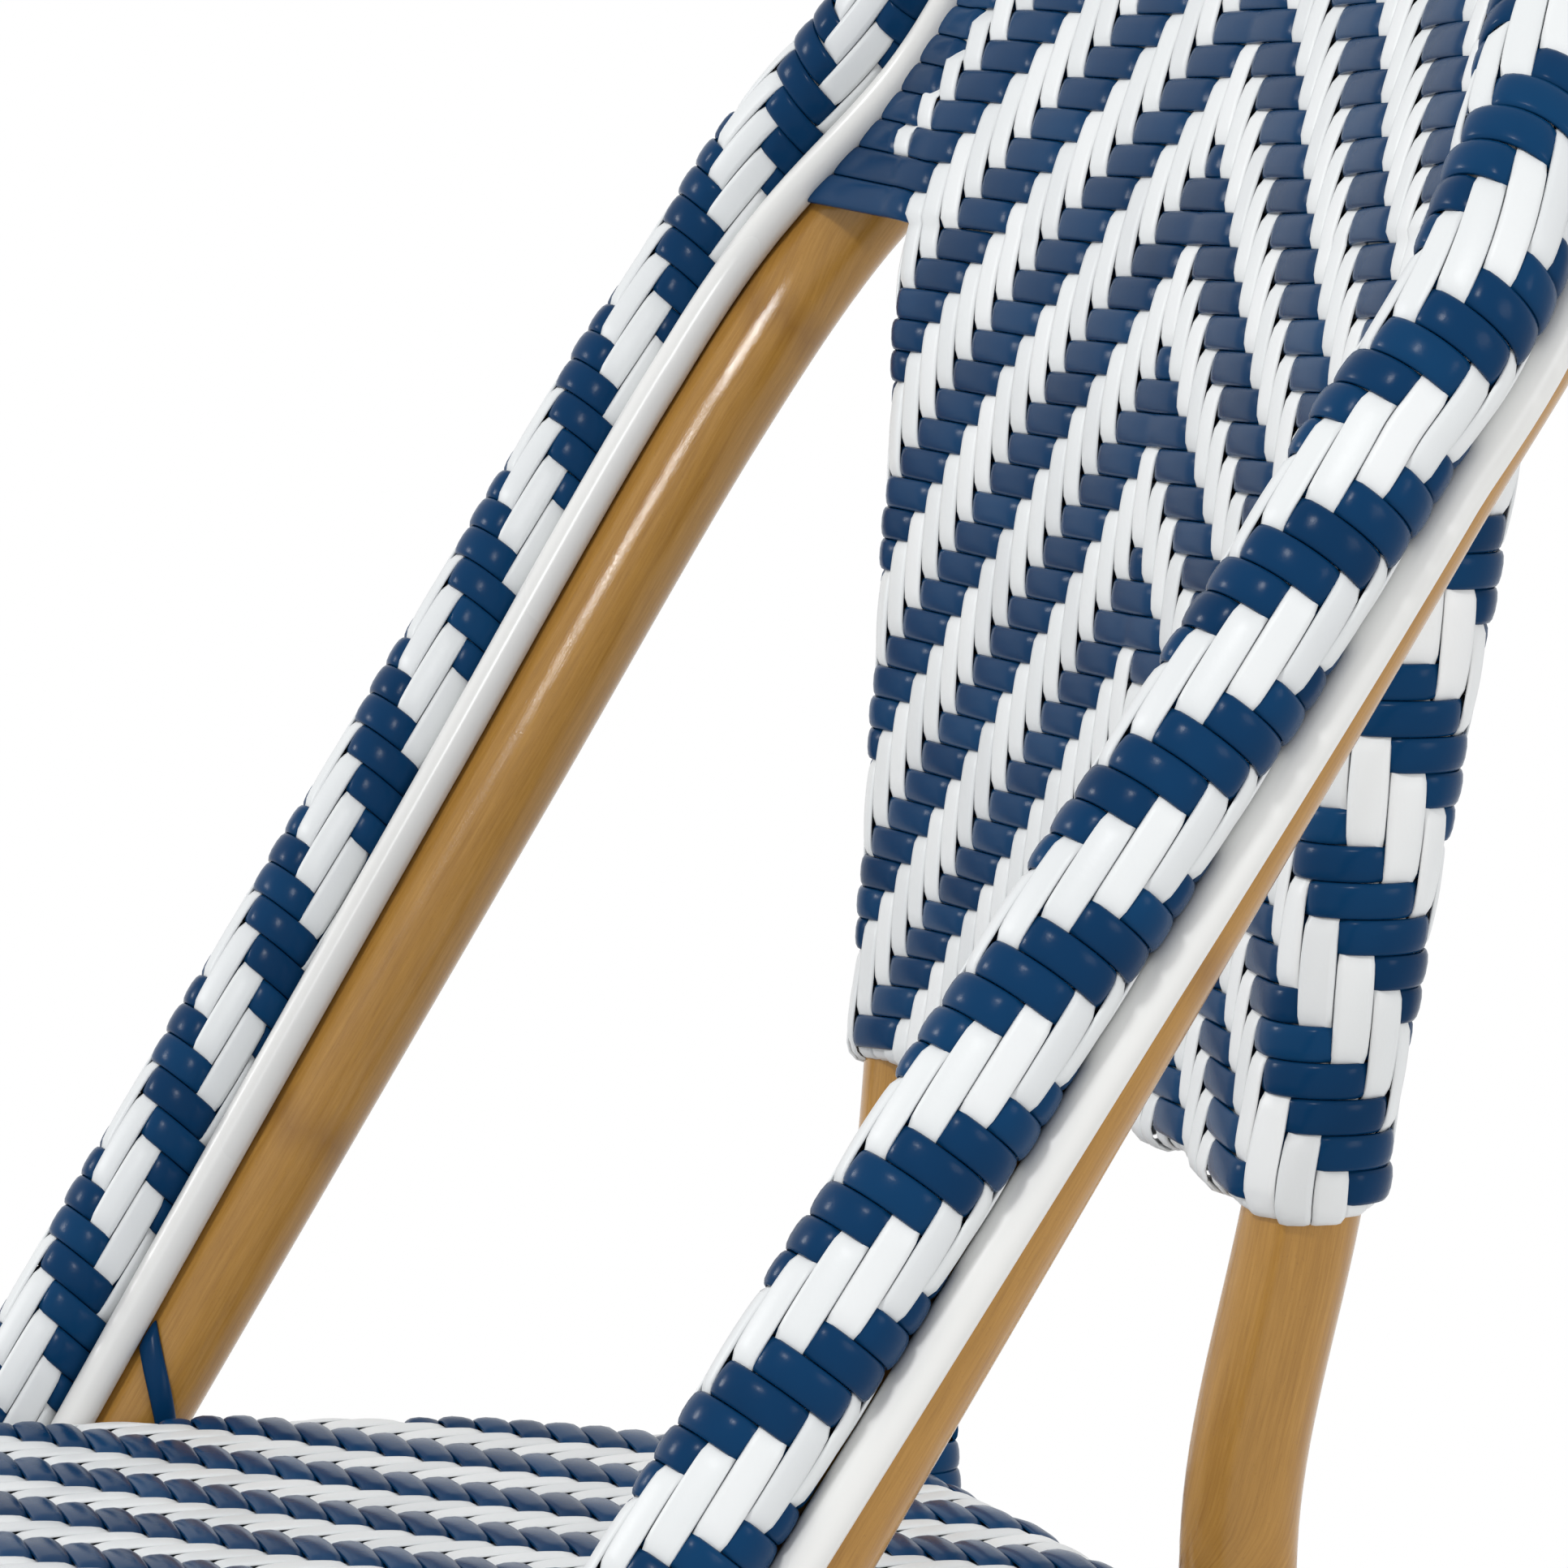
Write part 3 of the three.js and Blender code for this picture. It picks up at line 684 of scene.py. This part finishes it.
def softened(points, reach):
    """A polyline with its corners rounded."""
    weights = np.exp(-np.linspace(-2, 2, 2 * reach + 1) ** 2)
    weights /= weights.sum()
    padded = np.pad(points, ((reach, reach), (0, 0)), "reflect", reflect_type="odd")
    return np.stack([np.convolve(padded[:, i], weights, "valid") for i in range(points.shape[1])], -1)


def spaced(points, marks):
    """Points at given distances along a polyline."""
    far = np.concatenate([[0], np.cumsum(np.linalg.norm(np.diff(points, axis=0), axis=1))])
    return np.stack([np.interp(marks, far, points[:, i]) for i in range(points.shape[1])], -1), far[-1]


def front_reach(z):
    """From the middle to the side of the sleeve, along the front of the weave."""
    return UPRIGHT_OUT + UPRIGHT_SPREAD * (z - SLEEVE_FOOT) + SLEEVE_REACH


def bag_outline(z):
    """Half the bag's plan at a height, from the front middle round the upright to the rear middle."""
    x, y, _ = upright.at(upright.share_at_height(z, *STEM_SPAN))
    across = np.linspace(0, x, 160, endpoint=False)
    centre = panel_plane(z) + panel_sweep(z)
    bend = centre + (y - centre) * (across / x) ** 2
    cuff = SLEEVE_MIDDLE + CUFF * smooth(*CUFF_HEIGHTS, z)
    swell = WEB_HALF + (cuff - WEB_HALF) * (across / x) ** SWELL_POWER
    turn = np.linspace(-np.pi / 2, np.pi / 2, 90)
    arc = np.stack([x + cuff * np.cos(turn), y + cuff * np.sin(turn)], -1)
    front, rear = np.stack([across, bend - swell], -1), np.stack([across, bend + swell], -1)
    line = np.vstack([front, arc, rear[::-1]])
    length = spaced(line, [0.0])[1]
    marks = np.concatenate([
        np.linspace(0, front_reach(z), FRONT_WARPS * PER_WARP, endpoint=False),
        np.linspace(front_reach(z), length, FRONT_WARPS * PER_WARP + 1),
    ])
    return spaced(softened(spaced(line, np.linspace(0, length, 400))[0], 3), marks)[0]


bag_heights = np.arange(BAG_FOOT, BAG_TOP, BAG_STEP)
bag_table = np.stack([bag_outline(z) for z in bag_heights])


def read_table(table, i, j):
    """A table of points, read between its rows and columns."""
    i, j = np.clip(i, 0, table.shape[0] - 1.001), np.clip(j, 0, table.shape[1] - 1.001)
    i0, j0 = i.astype(int), j.astype(int)
    fi, fj = (i - i0)[..., None], (j - j0)[..., None]
    return (
        table[i0, j0] * (1 - fi) * (1 - fj) + table[i0 + 1, j0] * fi * (1 - fj)
        + table[i0, j0 + 1] * (1 - fi) * fj + table[i0 + 1, j0 + 1] * fi * fj
    )


def on_bag(warps, rows):
    """A point of the bag's middle layer; warps count from the front middle round it, rows down."""
    warps, rows = np.broadcast_arrays(np.asarray(warps, float), np.asarray(rows, float))
    counted = warps % BAG_WARPS
    folded = np.minimum(counted, BAG_WARPS - counted)
    left = np.where(counted <= HALF_BAG, 1.0, -1.0)
    z = ROW_ZERO - BACK_ROW * rows + row_lift(np.minimum(folded, HALF_BAG - folded), rows, left)
    shift = STRAIGHTER * (20 - rows) * smooth(1, 9, rows) * (left > 0)
    folded = folded - shift * smooth(13, 18, folded) * smooth(30, 24, folded)
    plan = read_table(bag_table, (z - bag_heights[0]) / BAG_STEP, folded * PER_WARP)
    return np.stack([plan[..., 0] * left, plan[..., 1], z], -1)


def faced(surface, warps, rows, sign):
    """A surface's point and its outward normal."""
    across = surface(warps + 0.2, rows) - surface(warps - 0.2, rows)
    down = surface(warps, rows + 0.2) - surface(warps, rows - 0.2)
    return surface(warps, rows), unit(np.cross(down, across)) * sign


# the head above the shoulders is a front and a rear sheet, each a depth over points seen from the front
hoop_share = np.linspace(0.2, 0.5, 700)
hoop_axis = hoop.at(hoop_share)
hoop_lean = 1 / np.sqrt(np.maximum(1 - hoop.along(hoop_share)[:, 1] ** 2, 0.2))


def near_axis(x, z, axis):
    """Distance from an axis seen from the front, the nearest point's index and the side."""
    gap = np.stack([x[..., None] - axis[:, 0], z[..., None] - axis[:, 2]], -1)
    away = np.linalg.norm(gap, axis=-1)
    nearest = away.argmin(-1)
    ahead = np.gradient(axis[:, [0, 2]], axis=0)[nearest]
    chosen = np.take_along_axis(gap, nearest[..., None, None], -2)[..., 0, :]
    outward = np.sign(chosen[..., 0] * ahead[..., 1] - chosen[..., 1] * ahead[..., 0])
    return away.min(-1), nearest, outward


def over(away, radius, lean):
    """How far a round tube's cover stands out over its axis, with a slope that falls away beside it."""
    cover = lean * np.sqrt(np.maximum(radius**2 - away**2, 0))
    return np.where(away < radius, cover, -2.5 * (away - radius))


def blended_max(a, b, reach):
    """The higher of two, with a soft change from one to the other."""
    mix = np.clip(0.5 + 0.5 * (a - b) / reach, 0, 1)
    return b + (a - b) * mix + reach * mix * (1 - mix)


def pulled_taut(x, depth, start):
    """Draws a row straight over its high points from start outwards."""
    kept = [start]
    for i in range(start + 1, len(x)):
        while len(kept) > 1:
            a, b = kept[-2:]
            if (depth[b] - depth[a]) * (x[i] - x[a]) > (depth[i] - depth[a]) * (x[b] - x[a]):
                break
            kept.pop()
        kept.append(i)
    return np.concatenate([depth[:start], np.interp(x[start:], x[kept], depth[kept])])


def sheet_row(z_middle, sign):
    """One row of the head: x, y, z from the middle outwards. sign -1 is the front sheet."""
    x = np.arange(0, HEAD_HALF, ACROSS_STEP)
    pitch = front_reach(z_middle) / FRONT_WARPS
    z = z_middle + row_lift(np.minimum(x / pitch * 1.06, 27), 0, -1)
    hoop_away, hoop_near, outward = near_axis(x, z, hoop_axis)
    edge_x = np.interp(z, hoop_axis[:, 2], hoop_axis[:, 0])
    edge_y = np.interp(z, hoop_axis[:, 2], hoop_axis[:, 1])
    side = np.clip(x / np.maximum(edge_x, 20), 0, 1)
    centre = panel_plane(z) + panel_sweep(z)
    drawn = smooth(ROW_ZERO - 4, ROW_ZERO + 30, z)
    web = (centre + (edge_y - centre) * side**2 * drawn) * sign + WEB_HALF
    stem_x, stem_y, _ = upright.at(upright.share_at_height(z_middle, *STEM_SPAN))
    swell = np.clip(x / stem_x, 0, 1) ** SWELL_POWER
    web = web + np.maximum(stem_y * sign + SLEEVE_MIDDLE - web, 0) * swell
    tube_out = hoop_axis[hoop_near, 1] * sign + over(hoop_away, SLEEVE_MIDDLE, hoop_lean[hoop_near])
    depth = blended_max(web, tube_out, 5.0)
    _, _, turn = hoop_frame(hoop_share[hoop_near])
    end_turn = turn[..., 0] + (REAR_END if sign > 0 else FRONT_END)
    inside = outward * hoop_away < SLEEVE_MIDDLE * np.abs(np.sin(end_turn))
    last = len(x) if inside.all() else int(np.argmin(inside))
    if last < 6:
        return None
    start = int(stem_x / ACROSS_STEP)
    if start < last - 4:
        depth = pulled_taut(x[:last], depth[:last], start)
    return np.stack([x[:last], depth[:last] * sign, z[:last]], -1)


head_rows = np.arange(0.6, -HEAD_ROWS - 0.3, -HEAD_STEP)


class Sheet:
    """The front or rear sheet above the shoulders, read by warps out from the middle and rows."""

    def __init__(self, sign):
        self.rows, self.ends, table = [], [], []
        marks = np.arange(0, 40, 1 / PER_WARP)
        for row in head_rows:
            z = ROW_ZERO - BACK_ROW * row
            line = sheet_row(z, sign)
            if line is None:
                break
            pitch = front_reach(z) / FRONT_WARPS
            line[:, 1] = softened(line[:, 1:2], min(6, len(line) // 3))[:, 0]
            points, length = spaced(line, marks * pitch)
            table.append(points)
            self.rows.append(row)
            self.ends.append(length / pitch)
        self.rows, self.ends, self.table = np.array(self.rows), np.array(self.ends), np.stack(table)

    def end(self, row):
        return np.interp(-row, -self.rows, self.ends)

    def __call__(self, warps, rows):
        warps, rows = np.broadcast_arrays(np.asarray(warps, float), np.asarray(rows, float))
        left = np.where(warps >= 0, 1.0, -1.0)
        point = read_table(self.table, (self.rows[0] - rows) / HEAD_STEP, np.abs(warps) * PER_WARP)
        return point * np.stack([left, np.ones_like(left), np.ones_like(left)], -1)


def back_phase(warps, rows):
    return warps - rows + TWILL_START


def row_height(warps, rows, bare=0.0):
    """A navy row's height; bare is 1 where it passes over the warps without weaving."""
    return woven(back_phase(warps, rows), BACK_LIFT, BACK_ARCH) * (1 - bare) + BACK_LIFT * bare


def warp_height(warps, rows, under):
    """A white warp's height; under is 1 where it lies beneath bare rows."""
    return woven(back_phase(warps, rows) + 3, BACK_LIFT, BACK_ARCH) * (1 - under) - BACK_LIFT * under


# the bag's rows, from just below the shoulders down to the bottom edge
navy_parts, white_parts = [], []
around = np.arange(0, BAG_WARPS, 1 / PER_WARP)
folded = np.minimum(around, BAG_WARPS - around)
for row in range(1, LAST_ROW + 1):

    def beside_row(aside):
        return faced(on_bag, around, row + aside, 1)

    lift = row_height(folded, row)
    navy_parts.append(laid(beside_row, navy_section, ROW_SHARE, lift, NAVY_THICK, closed=True))

# the head's rows, front and rear; the two lowest pass bare from the uprights to the hoop
front_sheet, rear_sheet = Sheet(-1), Sheet(1)
for row in range(0, -HEAD_ROWS, -1):
    for sheet, sign in ((front_sheet, 1), (rear_sheet, -1)):
        if row < sheet.rows[-1]:
            continue
        end = sheet.end(row)
        steps = np.linspace(-end, end, max(9, int(end * 2 * 5)))
        away = np.abs(steps)

        def beside_row(aside):
            return faced(sheet, steps, row + aside, sign)

        counted = away if sheet is front_sheet else HALF_BAG - away
        bare = smooth(18.4, 18.9, away) if row >= -1 else smooth(end - 2.8, end - 2.4, away)
        lift = row_height(counted, row, bare)
        navy_parts.append(laid(beside_row, navy_section, ROW_SHARE, lift, NAVY_THICK))


def beneath(sheet, out, rows):
    """1 where a warp runs under the bare end of a row, beside the trim rod."""
    return smooth(2.9, 2.5, sheet.end(rows) - out)


# the warps: up the bag and on into the sheet above it, with their ends folded under the bottom edge
FOLD = 3.0
fold_turn = np.radians([150, 120, 90, 60, 30])[:, None]
for warp in range(BAG_WARPS):
    folded_warp = min(warp, BAG_WARPS - warp)
    front = folded_warp <= FRONT_WARPS
    out = folded_warp if front else HALF_BAG - folded_warp
    side = 1 if warp <= HALF_BAG else -1
    sheet, sign = (front_sheet, 1) if front else (rear_sheet, -1)
    rows = np.arange(LAST_ROW + 0.5, 0.4, -1 / PER_WARP)
    more = np.arange(0.25, sheet.rows[-1], -1 / PER_WARP)
    more = more[sheet.end(more) > out + 1] if out <= 18 else more[:0]

    def beside_warp(aside):
        point, normal = faced(on_bag, np.full(len(rows), warp + aside), rows, 1)
        fold = point[0] - UP * FOLD * np.sin(fold_turn) - normal[0] * FOLD * (1 - np.cos(fold_turn))
        folded_out = unit(normal[0] * np.cos(fold_turn) - UP * np.sin(fold_turn))
        above, facing = faced(sheet, np.full(len(more), out * side + aside * sign), more, sign)
        return np.vstack([fold, point, above]), np.vstack([folded_out, normal, facing])

    level = np.concatenate([np.full(len(fold_turn), rows[0]), rows, more])
    under = np.concatenate([np.zeros(len(fold_turn) + len(rows)), beneath(sheet, out, more)])
    lift = warp_height(folded_warp, level, under)
    white_parts.append(laid(beside_warp, white_section, WARP_SHARE, lift, WHITE_THICK))

# the ears' own warps, between the sleeves and the hoop
for sheet, sign in ((front_sheet, 1), (rear_sheet, -1)):
    for out in range(19, 30):
        for side in (1, -1):
            more = np.arange(-1.5, sheet.rows[-1], -1 / PER_WARP)
            more = more[sheet.end(more) > out + 1]
            if len(more) < 4:
                continue

            def beside_warp(aside):
                return faced(sheet, np.full(len(more), out * side + aside), more, sign)

            counted = out if sheet is front_sheet else HALF_BAG - out
            lift = warp_height(counted, more, beneath(sheet, out, more))
            white_parts.append(laid(beside_warp, white_section, WARP_SHARE, lift, WHITE_THICK))

strands("back_navy_strand", navy_parts, navy, ["woven_back"], 3)
strands("back_white_strand", white_parts, white, ["woven_back"], 4)


# Woven seat
# White strands run front to rear and navy ones from side to side, in the same twill, and both are
# drawn over the rails of the seat ring and fixed underneath.

RAIL_RADIUS = 11
RIM_MIDDLE = RAIL_RADIUS + WEAVE_GAP + WEAVE_HALF
# pitches of the two strands, and how much the navy ones lean out of square
SEAT_WARP, SEAT_ROW, SEAT_LEAN = 8.9, 7.36, -0.035
# one crossing of the pattern, and the strands' numbers counted from it
SEAT_ANCHOR = (-132.2, 20.4)
SEAT_WARPS, SEAT_ROWS = (-14, 42), (-46, 33)
SEAT_LIFT, NAVY_ARCH, WHITE_ARCH = 0.85, 1.0, 0.65
SEAT_NAVY_THICK, SEAT_ROW_SHARE = 2.5, 0.53
# how deep the seat dips far inside the ring, and how soon
SEAT_DIP, DIP_REACH = 2.9, 90.0
# how far the strands reach round the rail, in radians
WRAP = 2.9
ring_points = ring.at(np.linspace(0, 1, 1600, endpoint=False))[:, :2]
ring_ahead = ring.along(np.linspace(0, 1, 1600, endpoint=False))[:, :2]
ring_out = np.stack([ring_ahead[:, 1], -ring_ahead[:, 0]], -1)
ring_out *= np.sign((ring_out * (ring_points - [0, -50])).sum(-1, keepdims=True))


def on_seat(x, y):
    """Folds a flat sheet over the rim, down round the rail; inside the ring's line it dips a little."""
    x, y = np.broadcast_arrays(np.asarray(x, float), np.asarray(y, float))
    flat = np.stack([x, y], -1)
    rough = ((flat[..., None, :] - ring_points[::8]) ** 2).sum(-1).argmin(-1) * 8
    near = (rough[..., None] + np.arange(-8, 9)) % len(ring_points)
    best = ((flat[..., None, :] - ring_points[near]) ** 2).sum(-1).argmin(-1)
    nearest = np.take_along_axis(near, best[..., None], -1)[..., 0]
    beside = ((flat - ring_points[nearest]) * ring_out[nearest]).sum(-1)
    out = np.maximum(beside, 0)
    turn = out / RIM_MIDDLE
    level = RAIL_LEVEL - SEAT_DIP * (1 - np.exp(np.minimum(beside, 0) / DIP_REACH))
    normal = np.concatenate([ring_out[nearest] * np.sin(turn)[..., None], np.cos(turn)[..., None]], -1)
    base = np.concatenate([flat - ring_out[nearest] * out[..., None], level[..., None]], -1)
    return base + RIM_MIDDLE * normal, normal, turn


def seat_phase(x, y):
    """Counts crossings: a white float starts at the anchor and steps one warp in +X per row in +Y."""
    ahead = x - SEAT_ANCHOR[0]
    return (y - SEAT_ANCHOR[1] - SEAT_LEAN * ahead) / SEAT_ROW - ahead / SEAT_WARP


def seat_strand(x, y, shift, section, half, lift, thick):
    """A strand of the seat; shift is the direction across it. Its ends stop under the rail."""
    keep = on_seat(x, y)[2] < WRAP
    if keep.sum() < 12:
        return []
    x, y = x[keep], y[keep]

    def beside_strand(aside):
        return on_seat(x + shift[0] * aside, y + shift[1] * aside)[:2]

    return [laid(beside_strand, section, half, lift[keep], thick)]


navy_parts, white_parts = [], []
for i in range(*SEAT_ROWS):
    x = SEAT_ANCHOR[0] + SEAT_WARP * np.arange(*SEAT_WARPS, 1 / PER_WARP)
    y = SEAT_ANCHOR[1] + (i + 0.5) * SEAT_ROW + SEAT_LEAN * (x - SEAT_ANCHOR[0])
    lift = woven(seat_phase(x, y) + 3, SEAT_LIFT, NAVY_ARCH)
    navy_parts += seat_strand(x, y, (0, 1), navy_section, SEAT_ROW * SEAT_ROW_SHARE, lift, SEAT_NAVY_THICK)
for i in range(*SEAT_WARPS):
    y = SEAT_ANCHOR[1] + SEAT_ROW * np.arange(*SEAT_ROWS, 1 / PER_WARP)
    x = np.full(len(y), SEAT_ANCHOR[0] + i * SEAT_WARP)
    lift = woven(seat_phase(x, y), SEAT_LIFT, WHITE_ARCH)
    white_parts += seat_strand(x, y, (1, 0), white_section, SEAT_WARP * WARP_SHARE, lift, WHITE_THICK)
strands("seat_navy_strand", navy_parts, navy, ["woven_seat"], 5)
strands("seat_white_strand", white_parts, white, ["woven_seat"], 6)


# Lashings
# A navy strand is wound round the foot of each upright, where it passes the seat, and another ties
# the foot of each arm to the seat's side.

LASHING_HALF, LASHING_AWAY = 3.6, TUBE_RADIUS + 1.3
# heights that a strand starts and ends at, and its turns; the tie also has a turn that it starts at
LASHING_FOOT, LASHING_TOP, LASHING_TURNS = 439.5, 455.5, 2.3
TIE_TOP, TIE_FOOT, TIE_TURNS, TIE_START = 466, 438, -0.36, 230


def wound(route, span, low, high, turns, flip, start=0.0):
    """A strand round a tube between two heights, found in a span of its route; 0 degrees is outermost."""
    turn = np.radians(start) + np.linspace(0, 2 * np.pi * turns, max(12, int(48 * abs(turns))))
    height = np.linspace(low, high, len(turn))

    def beside_turn(aside):
        share = route.share_at_height(height + aside, *span)
        ahead = route.along(share)
        outer = unit(np.array([1.0, 0, 0]) - ahead * ahead[:, :1])
        rear = np.cross(ahead, outer)
        outward = np.cos(turn)[:, None] * outer + np.sin(turn)[:, None] * rear
        return flip(route.at(share) + LASHING_AWAY * outward), flip(outward)

    return laid(beside_turn, navy_section, LASHING_HALF, np.zeros(len(turn)), NAVY_THICK)


for side, flip in (("left", np.asarray), ("right", mirrored)):
    lashing = wound(upright, (0.3, 0.8), LASHING_FOOT, LASHING_TOP, LASHING_TURNS, flip)
    strands(f"lashing_strand_{side}", [lashing], navy, [f"upright_lashing_{side}"], 7)
    arm_tie = wound(hoop, (0.0, 0.2), TIE_TOP, TIE_FOOT, TIE_TURNS, flip, TIE_START)
    strands(f"arm_tie_{side}", [arm_tie], navy, [], 8)


# Hidden rails and fittings
# The rails, spacers and cores are plain aluminium tube. The two cross bars are bent down a little
# where the seat dips, and the back's bottom rail up where its edge rises. Glides and plugs are black.

BAR_RADIUS, BAR_LEVEL, BAR_SHORT = 7, 442.3, 8
# how far a bar is bent down halfway out and in the middle, as shares of the seat's dip
BAR_HALFWAY_SHARE, BAR_MIDDLE_SHARE = 0.7, 0.9
PANEL_RAIL_RADIUS, PANEL_RAIL_LEVEL, PANEL_RAIL_HALF = 4.5, 552, 108.8


def bare_metal(tree):
    cloud = noise(tree, object_place(tree), 30.0, 4.0)
    return {
        "Base Color": ramp(tree, cloud, (0.3, paint(150, 152, 154)), (0.7, paint(172, 174, 176))),
        "Roughness": cloud * 0.2 + 0.3,
    }


def black_moulding(tree):
    grain = noise(tree, object_place(tree), 600.0, 3.0)
    return {
        "Base Color": ramp(tree, grain, (0.3, paint(20, 20, 22)), (0.7, paint(30, 30, 32))),
        "Roughness": grain * 0.2 + 0.4,
        "Normal": bumped(tree, grain, 0.0001, 0.4),
    }


aluminium = finish("bare_aluminium", {"Metallic": 1.0}, bare_metal)
black_plastic = finish("black_plastic", {"IOR": 1.5}, black_moulding)
for name, share in (("rear", 0.19), ("front", 0.275)):
    end = ring.at(share) * [1, 1, 0] + [-BAR_SHORT, 0, BAR_LEVEL]
    halfway = end * [0.5, 1, 1] - UP * BAR_HALFWAY_SHARE * SEAT_DIP
    middle = end * [0, 1, 1] - UP * BAR_MIDDLE_SHARE * SEAT_DIP
    bar = [end, halfway, middle] + list(mirrored([halfway, end]))
    tube(
        f"cross_bar_{name}", Route(bar), BAR_RADIUS, ROD_SIDES, aluminium, "bare_tube",
        [f"seat_bar_{name}"],
    )
rail = [
    [x, panel_plane(PANEL_RAIL_LEVEL), PANEL_RAIL_LEVEL + HEM_RISE * smooth(120, 62, abs(x))]
    for x in np.linspace(-PANEL_RAIL_HALF, PANEL_RAIL_HALF, 13)
]
tube("bottom_rail", Route(rail), PANEL_RAIL_RADIUS, ROD_SIDES, aluminium, "bare_tube", ["panel_rail"])
for name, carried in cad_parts.items():
    if "glide" in name or "tube_plug" in name:
        chosen = black_plastic
    elif "roll_plug" in name:
        chosen = navy
    else:
        chosen = aluminium
    carried.data.materials.clear()
    carried.data.materials.append(chosen)


# Floor and light
# A plain white studio: a floor that fades to white and a white surround. Small lamps shine from
# high at the sitter's left front and from the right front, a large one from behind at the left.

FLOOR_REACH, FLOOR_DROP = 1.5, 0.0005
SURROUND = 0.72


def seen_by_eye(tree):
    """1 for rays that come from the camera, by way of mirrors and glass too."""
    rays = node(tree, "ShaderNodeLightPath")
    eye_rays = rays.out("Is Camera Ray") + rays.out("Is Glossy Ray") + rays.out("Is Transmission Ray")
    return eye_rays.clipped()


def studio_floor():
    material = bpy.data.materials.new("studio_floor")
    material.use_nodes = True
    tree = material.node_tree
    tree.nodes.clear()
    far = node(tree, "ShaderNodeVectorMath", {"operation": "LENGTH"}, {0: object_place(tree)}).out("Value")
    fade = (far - 0.5).clipped() * 0.35 + 0.65
    plain = node(tree, "ShaderNodeBsdfDiffuse", None, {"Color": (0.86, 0.86, 0.86)})
    glow = node(tree, "ShaderNodeEmission", None, {"Color": (1, 1, 1), "Strength": 1.0})
    mixed = node(tree, "ShaderNodeMixShader", None, {0: seen_by_eye(tree) * fade, 1: plain, 2: glow})
    node(tree, "ShaderNodeOutputMaterial", None, {"Surface": mixed})
    return material


floor_mesh = bpy.data.meshes.new("studio_floor")
corners = [(x * FLOOR_REACH, y * FLOOR_REACH, 0) for x, y in ((-1, -1), (1, -1), (1, 1), (-1, 1))]
floor_mesh.from_pydata(corners, [], [(0, 1, 2, 3)])
floor_mesh.materials.append(studio_floor())
floor = bpy.data.objects.new("studio_floor", floor_mesh)
floor.location = (0, 0, -FLOOR_DROP)
scene.collection.objects.link(floor)

world = bpy.data.worlds.new("studio")
scene.world = world
world.use_nodes = True
tree = world.node_tree
tree.nodes.clear()
strength = seen_by_eye(tree) * (1 - SURROUND) + SURROUND
surround = node(tree, "ShaderNodeBackground", None, {"Color": (1, 1, 1), "Strength": strength})
node(tree, "ShaderNodeOutputWorld", None, {"Surface": surround})


def lamp(name, place, aim, size, power):
    data = bpy.data.lights.new(name, "AREA")
    data.shape = "RECTANGLE"
    data.size, data.size_y = size
    data.energy = power
    obj = bpy.data.objects.new(name, data)
    obj.location = place
    obj.rotation_euler = (Vector(aim) - Vector(place)).to_track_quat("-Z", "Y").to_euler()
    scene.collection.objects.link(obj)


lamp("key_lamp", (1.6, -1.3, 2.2), (0, 0.1, 0.6), (0.26, 0.26), 22)
lamp("side_lamp", (-1.2, -1.8, 1.5), (0, 0, 0.6), (0.28, 0.34), 11)
lamp("rear_lamp", (2.2, 1.3, 0.9), (0, 0.1, 0.6), (0.9, 0.7), 9)
